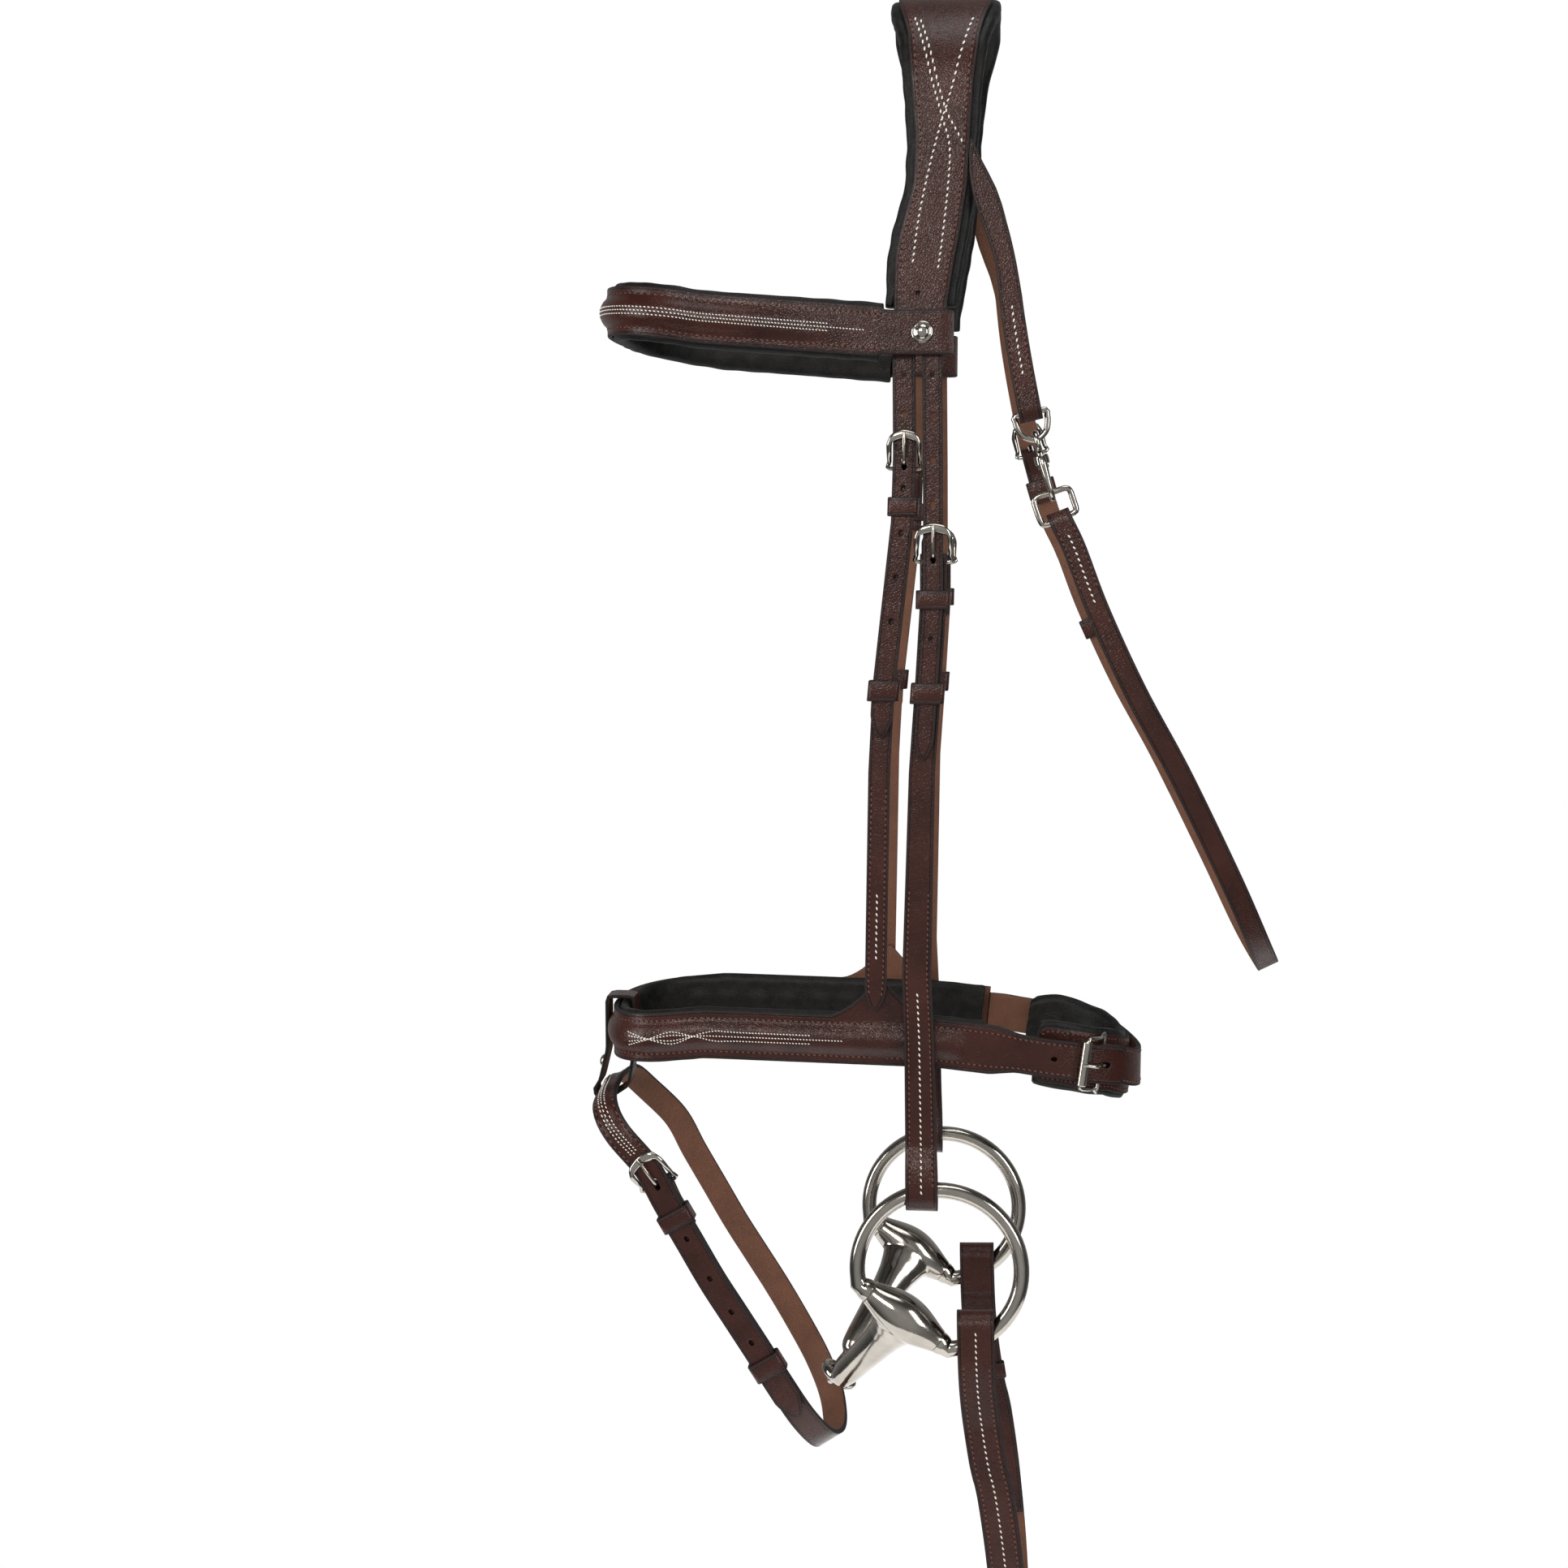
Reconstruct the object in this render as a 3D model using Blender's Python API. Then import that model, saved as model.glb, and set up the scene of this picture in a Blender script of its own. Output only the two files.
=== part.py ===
"""A snaffle bridle with a flash noseband: straps, linings, buckles, jointed bit and reins.

The frame has +X towards the horse's back, +Y to its off side and +Z up. The origin is on the
underside of the crown's lining at the poll. Sizes are in millimetres until a point is placed.
"""
import math

import bmesh
import bpy
from mathutils import Vector

MM = 0.001

# Clearances
GAP = 0.3
SLIDE_GAP = 0.5

# Leather
LEATHER = 2.2
KEEPER_WALL = 1.5
KEEPER_BELOW = 13.0
KEEPER_LENGTH = 8.5
RUNNER_LENGTH = 9.5

# The head that the bridle goes round
HEAD_HALF = 44.0
POLL_RISE = 38.0

# Crown and sliphead
LINING_FLOOR = 5.5
SLIPHEAD_IN = LINING_FLOOR + GAP
CROWN_IN = SLIPHEAD_IN + LEATHER + GAP
LINING_EDGE = CROWN_IN - GAP
LINING_END = 135.5
CROWN_END = 136.5
SLIPHEAD_HALF = 5.2
BILLET_HALF = 4.5

# Buckles
WIRE = 1.0
TONGUE = 0.9
TONGUE_PAST = 1.5
BUCKLE_RISE = 14.0
SLOT_HALF = 1.6

# Places down the head, as depths below the poll
HANGER_BUCKLE = 207.0
CHEEK_BUCKLE = 249.0
HANGER_TIP = 329.0
CHEEK_TIP = 339.0
HANGER_END = 457.0

# Widths
CHEEK_HALF = 6.0
HANGER_HALF = 5.0
CHEEK_FOOT_HALF = 7.4
BROWBAND_HALF = 11.0
NOSEBAND_HALF = 11.5
CHIN_HALF = 9.0
FLASH_HALF = 6.5
THROAT_HALF = 5.2
REIN_HALF = 8.7

# Bit
RING_X = 2.0
RING_Z = -580.0
RING_RADIUS = 38.5
RING_WIRE = 3.8
BARREL_FROM = 192.0
BARREL_TO = -83.0
PIN = 2.4
PIN_GAP = 0.4
BARREL_END = 4.6
BARREL_MIDDLE = 8.6
MOUTH_DROP = 58.0
EYE_RADIUS = 7.5
EYE_WIRE = 2.3
EYE_SLACK = 0.5

# Reins: depths of the loop's top, of its sewn end and of the folds, and the folds' spacing
REIN_TOP = 600.0
REIN_RETURN_END = 742.0
FOLD_LOW = 985.0
FOLD_HIGH = 775.0
FOLDS = 4
FOLD_STEP = 6.6
REIN_SPREAD = 5.3
REIN_END_BEND = 8.0
REIN_BAR = 6.0
REIN_PAST = 14.0
TIE_DEPTH = 890.0
TIE_LENGTH = 12.0

BROWN = (0.055, 0.022, 0.016)
BLACK = (0.012, 0.012, 0.012)
STEEL = (0.62, 0.62, 0.60)


def material(name, colour, roughness, metallic=0.0):
    made = bpy.data.materials.new(name)
    made.use_nodes = True
    shader = made.node_tree.nodes["Principled BSDF"]
    shader.inputs["Base Color"].default_value = (*colour, 1.0)
    shader.inputs["Roughness"].default_value = roughness
    shader.inputs["Metallic"].default_value = metallic
    return made


def finish(mesh_name, bm, look, smooth=False):
    """Turn a finished bmesh into a named object with its own material."""
    bmesh.ops.recalc_face_normals(bm, faces=bm.faces)
    mesh = bpy.data.meshes.new(mesh_name)
    bm.to_mesh(mesh)
    bm.free()
    if smooth:
        mesh.shade_smooth()
        mesh.set_sharp_from_angle(angle=math.radians(50))
    mesh.materials.append(material(mesh_name, *look))
    made = bpy.data.objects.new(mesh_name, mesh)
    bpy.context.scene.collection.objects.link(made)
    return made


LEATHER_LOOK = (BROWN, 0.35)
LINING_LOOK = (BLACK, 0.6)
METAL_LOOK = (STEEL, 0.2, 1.0)


def add_rings(bm, rings, closed=False):
    """Skin a row of equal outlines, and cap its ends unless it closes on itself."""
    rows = [[bm.verts.new(point * MM) for point in ring] for ring in rings]
    count = len(rings[0])
    pairs = list(zip(rows, rows[1:]))
    if closed:
        pairs.append((rows[-1], rows[0]))
    for one, two in pairs:
        for i in range(count):
            j = (i + 1) % count
            bm.faces.new((one[i], one[j], two[j], two[i]))
    if not closed:
        bm.faces.new(rows[0][::-1])
        bm.faces.new(rows[-1])


def between(table, value):
    """Read a value between the rows of a short table of (place, value, ...)."""
    if value <= table[0][0]:
        return table[0][1:]
    for one, two in zip(table, table[1:]):
        if value <= two[0]:
            share = (value - one[0]) / (two[0] - one[0])
            return tuple(a + share * (b - a) for a, b in zip(one[1:], two[1:]))
    return table[-1][1:]


def smooth_line(points, step=3.0):
    """A close row of points on a smooth curve through the given ones."""
    points = [Vector(p) for p in points]
    ends = [points[0] * 2 - points[1], *points, points[-1] * 2 - points[-2]]
    line = []
    for a, b, c, d in zip(ends, ends[1:], ends[2:], ends[3:]):
        steps = max(1, round((c - b).length / step))
        for i in range(steps):
            u = i / steps
            line.append(0.5 * (2 * b + (c - a) * u + (2 * a - 5 * b + 4 * c - d) * u * u
                               + (3 * b - a - 3 * c + d) * u ** 3))
    line.append(points[-1])
    return line


class Strand:
    """A line that straps follow: s runs along it from its middle, w across it and t outward."""

    def __init__(self, line, across, out, zero=0.0):
        self.line = [Vector(p) for p in line]
        self.across = across
        self.length = [0.0]
        for one, two in zip(self.line, self.line[1:]):
            self.length.append(self.length[-1] + (two - one).length)
        self.start = -zero
        first = (self.line[1] - self.line[0]).cross(self.across(self.line[0]))
        self.sign = 1.0 if first.dot(Vector(out)) > 0 else -1.0

    def point(self, s):
        s -= self.start
        last = len(self.line) - 2
        low, high = 0, last
        while low < high:
            middle = (low + high + 1) // 2
            if self.length[middle] <= s:
                low = middle
            else:
                high = middle - 1
        one, two = self.line[low], self.line[low + 1]
        share = (s - self.length[low]) / (self.length[low + 1] - self.length[low])
        return one + (two - one) * share

    def frame(self, s):
        here = self.point(s)
        along = (self.point(s + 1.5) - self.point(s - 1.5)).normalized()
        across = self.across(here)
        across = (across - along * across.dot(along)).normalized()
        return here, along, across, along.cross(across) * self.sign

    def at(self, s, w, t):
        here, _, across, out = self.frame(s)
        return here + across * w + out * t


def even_path(path, step):
    """Add points to a path of (s, t) at whole multiples of a step in s."""
    made = [path[0]]
    for one, two in zip(path, path[1:]):
        low, high = sorted((one[0], two[0]))
        marks = [k * step for k in range(math.ceil(low / step), math.floor(high / step) + 1)]
        marks = [m for m in marks if low + 0.8 < m < high - 0.8]
        if one[0] > two[0]:
            marks.reverse()
        for mark in marks:
            share = (mark - one[0]) / (two[0] - one[0])
            made.append((mark, one[1] + share * (two[1] - one[1])))
        made.append(two)
    return made


def sides_of(path, half):
    """The two edges of a path of (s, t) with thickness, mitred at its bends."""
    made = []
    for i, (s, t) in enumerate(path):
        normals = []
        for a, b in ((i - 1, i), (i, i + 1)):
            if a >= 0 and b < len(path):
                ds, dt = path[b][0] - path[a][0], path[b][1] - path[a][1]
                size = math.hypot(ds, dt)
                normals.append((-dt / size, ds / size))
        n = (sum(p[0] for p in normals), sum(p[1] for p in normals))
        size = math.hypot(*n)
        n = (n[0] / size, n[1] / size)
        reach = half / max(0.5, n[0] * normals[0][0] + n[1] * normals[0][1])
        made.append(((s - n[0] * reach, t - n[1] * reach), (s + n[0] * reach, t + n[1] * reach)))
    return made


def strap(name, strand, path, edge, step=6.0, ridge=None):
    """A flat strap whose middle follows a path of (s, t); edge(s) gives its two sides.

    ridge(s), where it is given, is the height of the padding raised along its outer face.
    """
    path = even_path(path, step)
    rings = []
    for (s, _), (one, two) in zip(path, sides_of(path, LEATHER / 2)):
        low, high = edge(s)
        ring = [(one[0], low, one[1]), (one[0], high, one[1]), (two[0], high, two[1])]
        if ridge:
            ring += [(two[0], w * (high - low), two[1] + up * ridge(s))
                     for w, up in ((0.3, 0), (0.16, 1), (-0.16, 1), (-0.3, 0))]
        ring.append((two[0], low, two[1]))
        rings.append([strand.at(*place) for place in ring])
    bm = bmesh.new()
    add_rings(bm, rings)
    return finish(name, bm, LEATHER_LOOK)


def even(half):
    return lambda s: (-half, half)


def section_strap(name, strand, start, end, section, look=LEATHER_LOOK, step=6.0):
    """A strap whose outline across it, a list of (w, t), may change along its length."""
    count = max(2, round(abs(end - start) / step))
    rings = []
    for k in range(count + 1):
        s = start + (end - start) * k / count
        rings.append([strand.at(s, w, t) for w, t in section(s)])
    bm = bmesh.new()
    add_rings(bm, rings)
    return finish(name, bm, look)


def loop_mesh(bm, strand, span, sides, depth, wall=KEEPER_WALL):
    """A flat leather loop round the straps; sides(s) and depth are what it clears."""
    inner, outer = [], []
    for s in span:
        low, high = sides(s)
        for rows, more in ((inner, 0.0), (outer, wall)):
            rows.append([strand.at(s, low - more, depth[0] - more),
                         strand.at(s, high + more, depth[0] - more),
                         strand.at(s, high + more, depth[1] + more),
                         strand.at(s, low - more, depth[1] + more)])
    rings = [outer[0], outer[1], inner[1], inner[0]]
    add_rings(bm, rings, closed=True)


def box_mesh(bm, strand, span, sides, depth):
    add_rings(bm, [[strand.at(s, w, t) for w, t in
                    ((sides[0], depth[0]), (sides[1], depth[0]), (sides[1], depth[1]), (sides[0], depth[1]))]
                   for s in span])


def wire_mesh(bm, points, radius, sides=8, closed=True):
    """A round wire along a row of points; radius may be one value or one for each point."""
    points = [Vector(p) for p in points]
    count = len(points)
    radii = radius if isinstance(radius, list) else [radius] * count
    along = []
    for i in range(count):
        back = points[i - 1] if closed or i else points[i]
        ahead = points[(i + 1) % count] if closed or i < count - 1 else points[i]
        along.append((ahead - back).normalized())
    middle = sum(points, Vector()) / count
    normal = Vector()
    for i in range(count):
        normal += (points[i] - middle).cross(points[(i + 1) % count] - middle)
    if normal.length < 1e-6:
        normal = along[0].orthogonal()
    normal.normalize()
    rings = []
    for point, way, r in zip(points, along, radii):
        across = normal.cross(way).normalized()
        up = way.cross(across).normalized()
        rings.append([point + across * (r * math.cos(a)) + up * (r * math.sin(a))
                      for a in (2 * math.pi * k / sides for k in range(sides))])
    add_rings(bm, rings, closed)


def wire(name, points, radius, sides=8, closed=True, look=METAL_LOOK):
    bm = bmesh.new()
    wire_mesh(bm, points, radius, sides, closed)
    return finish(name, bm, look, smooth=True)


def turned_mesh(bm, base, axis, profile, sides=16):
    """A turned piece: profile is a closed outline of (radius, height) clear of the axis."""
    axis = axis.normalized()
    one = axis.orthogonal().normalized()
    two = axis.cross(one)
    add_rings(bm, [[base + axis * h + (one * math.cos(a) + two * math.sin(a)) * r
                    for r, h in profile]
                   for a in (2 * math.pi * k / sides for k in range(sides))], closed=True)


def rod_mesh(bm, base, axis, profile, sides=10):
    """A solid turned rod: profile is a row of (radius, height) along the axis."""
    axis = axis.normalized()
    one = axis.orthogonal().normalized()
    two = axis.cross(one)
    add_rings(bm, [[base + axis * h + (one * math.cos(a) + two * math.sin(a)) * r
                    for a in (2 * math.pi * k / sides for k in range(sides))]
                   for r, h in profile])


def combine(target, name, bm, operation):
    """Cut a helper solid from a piece, or join it on."""
    tool = finish(name, bm, METAL_LOOK)
    tool.hide_render = True
    tool.display_type = "WIRE"
    tool.hide_set(True)
    change = target.modifiers.new(name, "BOOLEAN")
    change.operation = operation
    change.solver = "EXACT"
    change.object = tool


# A buckle stands on a strand at s = at_bar. way is +1 where its own strap runs to greater s. lift
# moves the whole stack outward, and middle is its centre across the strand.
BAR_T = 2.0
MAIN_T = BAR_T + WIRE + GAP + LEATHER / 2
RETURN_T = MAIN_T - LEATHER - GAP
BILLET_T = MAIN_T + LEATHER + GAP
TOP_T = BILLET_T + LEATHER / 2 + GAP + WIRE
TURN = WIRE + GAP + LEATHER / 2
STACK_IN = RETURN_T - LEATHER / 2 - GAP
STACK_OUT = BILLET_T + LEATHER / 2 + GAP


def turn_path(at_bar, way, lift, back, bar_t=BAR_T, reach=TURN, main_t=MAIN_T):
    """A strap's end: it comes back under itself, goes round the bar and runs on."""
    middle = lift + bar_t
    path = [(at_bar + way * back, lift + main_t - LEATHER - GAP)]
    path.append((at_bar + way * (reach + 7.0), lift + main_t - LEATHER - GAP))
    for k in range(7):
        angle = math.radians(-90 + 30 * k)
        path.append((at_bar - way * reach * math.cos(angle), middle + reach * math.sin(angle)))
    path.append((at_bar + way * (reach + 7.0), lift + main_t))
    return path


def buckle(prefix, strand, at_bar, way, middle, half, lift=0.0, roller=0.0):
    """The frame and the tongue of a buckle, and the tube round its top bar if it has a roller."""
    wide = half + SLIDE_GAP + WIRE
    rise = BUCKLE_RISE
    top = at_bar - way * rise
    top_t = TOP_T + (roller - WIRE if roller else 0.0)
    place = [(-wide, at_bar, BAR_T), (wide, at_bar, BAR_T),
             (wide, at_bar - way * rise * 0.5, (BAR_T + top_t) / 2 + 0.6),
             (wide - 0.5, top + way * 2.0, top_t - 0.6), (wide - 2.5, top, top_t),
             (2.5 - wide, top, top_t), (0.5 - wide, top + way * 2.0, top_t - 0.6),
             (-wide, at_bar - way * rise * 0.5, (BAR_T + top_t) / 2 + 0.6)]
    wire(prefix + "_buckle", [strand.at(s, middle(s) + w, lift + t) for w, s, t in place], WIRE)
    if roller:
        centre = strand.at(top, middle(top), lift + top_t)
        length = 2 * wide - 7.0
        bm = bmesh.new()
        turned_mesh(bm, centre, strand.frame(top)[2],
                    [(WIRE + GAP, -length / 2), (roller, -length / 2), (roller, length / 2), (WIRE + GAP, length / 2)])
        finish(prefix + "_roller", bm, METAL_LOOK, smooth=True)
    bar = strand.at(at_bar, middle(at_bar), lift + BAR_T)
    over = strand.at(top, middle(top), lift + top_t)
    way_up = (over - bar).normalized()
    out = way_up.cross(strand.frame(at_bar)[2]).normalized()
    out *= math.copysign(1.0, out.dot(strand.frame(at_bar)[3]))
    root = bar + out * (WIRE + GAP + TONGUE)
    tip = over + out * (max(WIRE, roller) + GAP + TONGUE) + way_up * TONGUE_PAST
    bm = bmesh.new()
    rod_mesh(bm, root, tip - root, [(TONGUE, 0), (TONGUE, (tip - root).length)], 6)
    finish(prefix + "_tongue", bm, METAL_LOOK, smooth=True)


def slot_turn(piece, strand, at_bar, way, middle, lift=0.0):
    """The slot in a strap's turn that its tongue stands in."""
    bm = bmesh.new()
    w = middle(at_bar)
    box_mesh(bm, strand, sorted((at_bar - way * 6.0, at_bar + way * 2.4)), (w - SLOT_HALF, w + SLOT_HALF),
             (lift + BAR_T + 0.5, lift + BAR_T + 6.0))
    combine(piece, piece.name + "_slot_" + str(len(piece.modifiers)), bm, "DIFFERENCE")


def hole_billet(piece, strand, at_bar, way, middle, lift=0.0):
    """The hole in a billet that the tongue goes through."""
    bm = bmesh.new()
    w = middle(at_bar)
    box_mesh(bm, strand, sorted((at_bar - way * 10.6, at_bar + way * 0.6)), (w - SLOT_HALF, w + SLOT_HALF),
             (lift + BILLET_T - 2.4, lift + BILLET_T + 2.4))
    combine(piece, piece.name + "_hole_" + str(len(piece.modifiers)), bm, "DIFFERENCE")


def keeper_mesh(bm, strand, span, middle, half, lift=0.0, inside=STACK_IN):
    loop_mesh(bm, strand, sorted(span),
              lambda s: (middle(s) - half - GAP, middle(s) + half + GAP),
              (lift + inside, lift + STACK_OUT))


def sewn_keeper(name, strand, at_bar, way, middle, half, lift=0.0):
    """The loop sewn below a buckle, which holds the strap's return as well as the billet."""
    start = at_bar + way * KEEPER_BELOW
    bm = bmesh.new()
    keeper_mesh(bm, strand, (start, start + way * KEEPER_LENGTH), middle, half, lift)
    finish(name, bm, LEATHER_LOOK)


def runner(name, strand, span, middle, half, lift=0.0):
    """The loose loop that holds a billet's end to its strap."""
    bm = bmesh.new()
    keeper_mesh(bm, strand, span, middle, half, lift, MAIN_T - LEATHER / 2 - GAP)
    finish(name, bm, LEATHER_LOOK)


# The strand over the poll and down both sides, from the near side to the off side
def head_line():
    down = [(0, -HEAD_HALF, z) for z in range(-600, -int(POLL_RISE), 10)]
    over = [(0, -HEAD_HALF * math.cos(a), POLL_RISE * math.sin(a) - POLL_RISE)
            for a in (math.pi * k / 48 for k in range(49))]
    return [*down, *over, *[(x, -y, z) for x, y, z in reversed(down)]]


HEAD = Strand(head_line(), lambda p: Vector((1, 0, 0)), (0, -1, 0))
HEAD.start = -HEAD.length[-1] / 2
ARCH = HEAD.length[-1] / 2 - (600.0 - POLL_RISE)


def down(depth):
    """The distance along the head strand from the poll to a depth below it."""
    return ARCH + depth - POLL_RISE


def depth_of(s):
    return abs(s) - ARCH + POLL_RISE


# The middle of each strap in x at depths below the poll
HANGER_X = [(40, -2.0), (104, -6.0), (136, -15.8), (158, -16.9), (201, -16.4), (231, -17.2),
            (243, -18.5), (309, -25.6), (345, -27.3), (457, -28.7)]
CHEEK_X = [(136, -4.6), (201, -3.6), (243, -3.2), (267, -3.0), (304, -5.0), (345, -7.6), (440, -9.4),
           (470, -8.0), (560, -6.0)]
CROWN_EDGES = [(0, -21.0, 21.0), (9, -19.0, 18.6), (20, -16.2, 15.8), (38, -14.2, 12.9), (62, -12.3, 11.6),
               (82, -12.9, 10.6), (104, -19.0, 7.4), (114, -20.9, 5.4), (CROWN_END - 3.0, -21.4, 2.3)]
LINING_GROWTH = 4.0


def hanger_middle(s):
    return between(HANGER_X, depth_of(s))[0]


def cheek_middle(s):
    return between(CHEEK_X, depth_of(s))[0]


def crown_edge(s):
    depth = depth_of(s)
    if depth < CROWN_END:
        return between(CROWN_EDGES, depth)
    tip = min(BILLET_HALF, 1.0 + max(0.0, CHEEK_TIP - depth) * 0.45)
    return cheek_middle(s) - tip, cheek_middle(s) + tip


def sliphead_edge(s):
    tip = min(SLIPHEAD_HALF, 1.0 + max(0.0, HANGER_TIP - depth_of(s)) * 0.45)
    return hanger_middle(s) - tip, hanger_middle(s) + tip


def make_crown():
    """The crown leather with both billets, the sliphead under it and the lining under both."""
    billet = CROWN_IN + LEATHER / 2
    tip = down(CHEEK_TIP)
    crown = strap("crown_strap", HEAD, [(-tip, billet), (tip, billet)], crown_edge, step=5.0)
    tip = down(HANGER_TIP)
    middle = SLIPHEAD_IN + LEATHER / 2
    sliphead = strap("sliphead", HEAD, [(-tip, middle), (tip, middle)], sliphead_edge, step=5.0)
    for side in (-1, 1):
        hole_billet(crown, HEAD, side * down(CHEEK_BUCKLE), side, cheek_middle, CHEEK_LIFT)
        hole_billet(sliphead, HEAD, side * down(HANGER_BUCKLE), side, hanger_middle)
    end = down(LINING_END)

    def lining(s):
        low, high = between(CROWN_EDGES, depth_of(s))
        low, high = low - LINING_GROWTH, high + LINING_GROWTH
        middle = hanger_middle(s) if depth_of(s) > 40 else -2.0
        left = max(low + 2.6, middle - SLIPHEAD_HALF - 1.2)
        return [(low, 1.5), (low + 2, 0), (high - 2, 0), (high, 1.5), (high, LINING_EDGE - 1.5),
                (high - 1.5, LINING_EDGE), (middle + SLIPHEAD_HALF + 1.2, LINING_EDGE),
                (middle + SLIPHEAD_HALF + 1.2, LINING_FLOOR), (left, LINING_FLOOR), (left, LINING_EDGE),
                (low + 1.5, LINING_EDGE), (low, LINING_EDGE - 1.5)]

    section_strap("crown_lining", HEAD, -end, end, lining, LINING_LOOK, step=6.5)


CHEEK_LIFT = LEATHER + GAP
FOOT_T = 5.6
RING_Y = HEAD_HALF + FOOT_T
FOOT_X = CHEEK_X[-1][1]
FOOT_SIDES = (FOOT_X - CHEEK_FOOT_HALF - RING_X, FOOT_X + CHEEK_FOOT_HALF - RING_X)
RING_TOP = RING_Z + sum(math.sqrt(RING_RADIUS ** 2 - x ** 2) for x in FOOT_SIDES) / 2
FOOT_BORE = RING_WIRE + 2.2


def cheek_edge(s):
    depth = depth_of(s)
    half = CHEEK_HALF if depth < 345 else CHEEK_HALF + (CHEEK_FOOT_HALF - CHEEK_HALF) * min(1, (depth - 345) / 190)
    return cheek_middle(s) - half, cheek_middle(s) + half


def make_cheek(side, prefix):
    """A cheekpiece: buckle at the top, turned round the bit ring at the bottom."""
    at_bar = side * down(CHEEK_BUCKLE)
    path = turn_path(at_bar, side, CHEEK_LIFT, 26.0)
    ring = down(-RING_TOP)
    round_ring = FOOT_BORE + LEATHER / 2
    main = CHEEK_LIFT + MAIN_T
    path.append((side * (ring - 22.0), main))
    path.append((side * (ring - 12.0), FOOT_T + round_ring - 1.4))
    for k in range(9):
        angle = math.radians(90 - 22.5 * k)
        path.append((side * (ring + round_ring * math.cos(angle)), FOOT_T + round_ring * math.sin(angle)))
    path.append((side * (ring - 12.0), FOOT_T - round_ring + 3.0))
    path.append((side * (ring - 22.0), main - LEATHER - GAP))
    path.append((side * (ring - 46.0), main - LEATHER - GAP))
    cheek = strap(prefix + "_cheekpiece", HEAD, path, cheek_edge)
    slot_turn(cheek, HEAD, at_bar, side, cheek_middle, CHEEK_LIFT)
    buckle(prefix + "_cheek", HEAD, at_bar, side, cheek_middle, CHEEK_HALF, CHEEK_LIFT)
    sewn_keeper(prefix + "_cheek_keeper", HEAD, at_bar, side, cheek_middle, CHEEK_HALF, CHEEK_LIFT)
    from_bar = side * down(CHEEK_BUCKLE + 55.0)
    runner(prefix + "_cheek_runner", HEAD, (from_bar, from_bar + side * RUNNER_LENGTH), cheek_middle,
           CHEEK_HALF, CHEEK_LIFT)


def make_hanger(side, prefix):
    """A noseband hanger: buckle at the top, sewn to the noseband's flare at the bottom."""
    at_bar = side * down(HANGER_BUCKLE)
    path = turn_path(at_bar, side, 0.0, 26.0)
    end = side * down(HANGER_END)
    path.append((end - side * 60.0, MAIN_T))
    path.append((end - side * 20.0, FLARE_OUT + GAP + LEATHER / 2))
    path.append((end, FLARE_OUT + GAP + LEATHER / 2))
    hanger = strap(prefix + "_hanger", HEAD, path,
                   lambda s: (hanger_middle(s) - HANGER_HALF, hanger_middle(s) + HANGER_HALF))
    slot_turn(hanger, HEAD, at_bar, side, hanger_middle)
    buckle(prefix + "_hanger", HEAD, at_bar, side, hanger_middle, SLIPHEAD_HALF)
    sewn_keeper(prefix + "_hanger_keeper", HEAD, at_bar, side, hanger_middle, SLIPHEAD_HALF)
    from_bar = side * down(HANGER_BUCKLE + 96.0)
    runner(prefix + "_hanger_runner", HEAD, (from_bar, from_bar + side * RUNNER_LENGTH), hanger_middle,
           SLIPHEAD_HALF)


def front_line(half, back, front, square, height):
    """A level line round a face from the near side to the off side, flat-fronted."""
    centre = front + square
    count = 32
    nose = []
    for k in range(count + 1):
        a = math.pi * k / count
        c, s = math.cos(a), math.sin(a)
        nose.append((centre - square * abs(s) ** 0.8, -half * math.copysign(abs(c) ** 0.8, c)))
    side = [(x, -half) for x in range(round(back), round(centre), -6)]
    line = [*side, *nose, *[(x, -y) for x, y in reversed(side)]]
    return [Vector((x, y, height(x))) for x, y in line]


# The browband's strand, from the near loop round the front to the off loop
BROW_HALF = 49.0
BROW_BACK = 24.0
BROW_FRONT = -150.0
BROW_LINING = 6.3
BROW_RIDGE = 3.6


def brow_height(x):
    return between([(BROW_FRONT, -133.0), (-110, -140.0), (-22, -147.3), (0, -147.5)], x)[0]


BROW = Strand(front_line(BROW_HALF, BROW_BACK, BROW_FRONT, 34.0, brow_height), lambda p: Vector((0, 0, 1)),
              (0, -1, 0))
BROW.start = -BROW.length[-1] / 2
BROW_AT = BROW.length[-1] / 2 - BROW_BACK
LOOP_REAR = 4.3
LOOP_FRONT = -25.1


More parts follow.
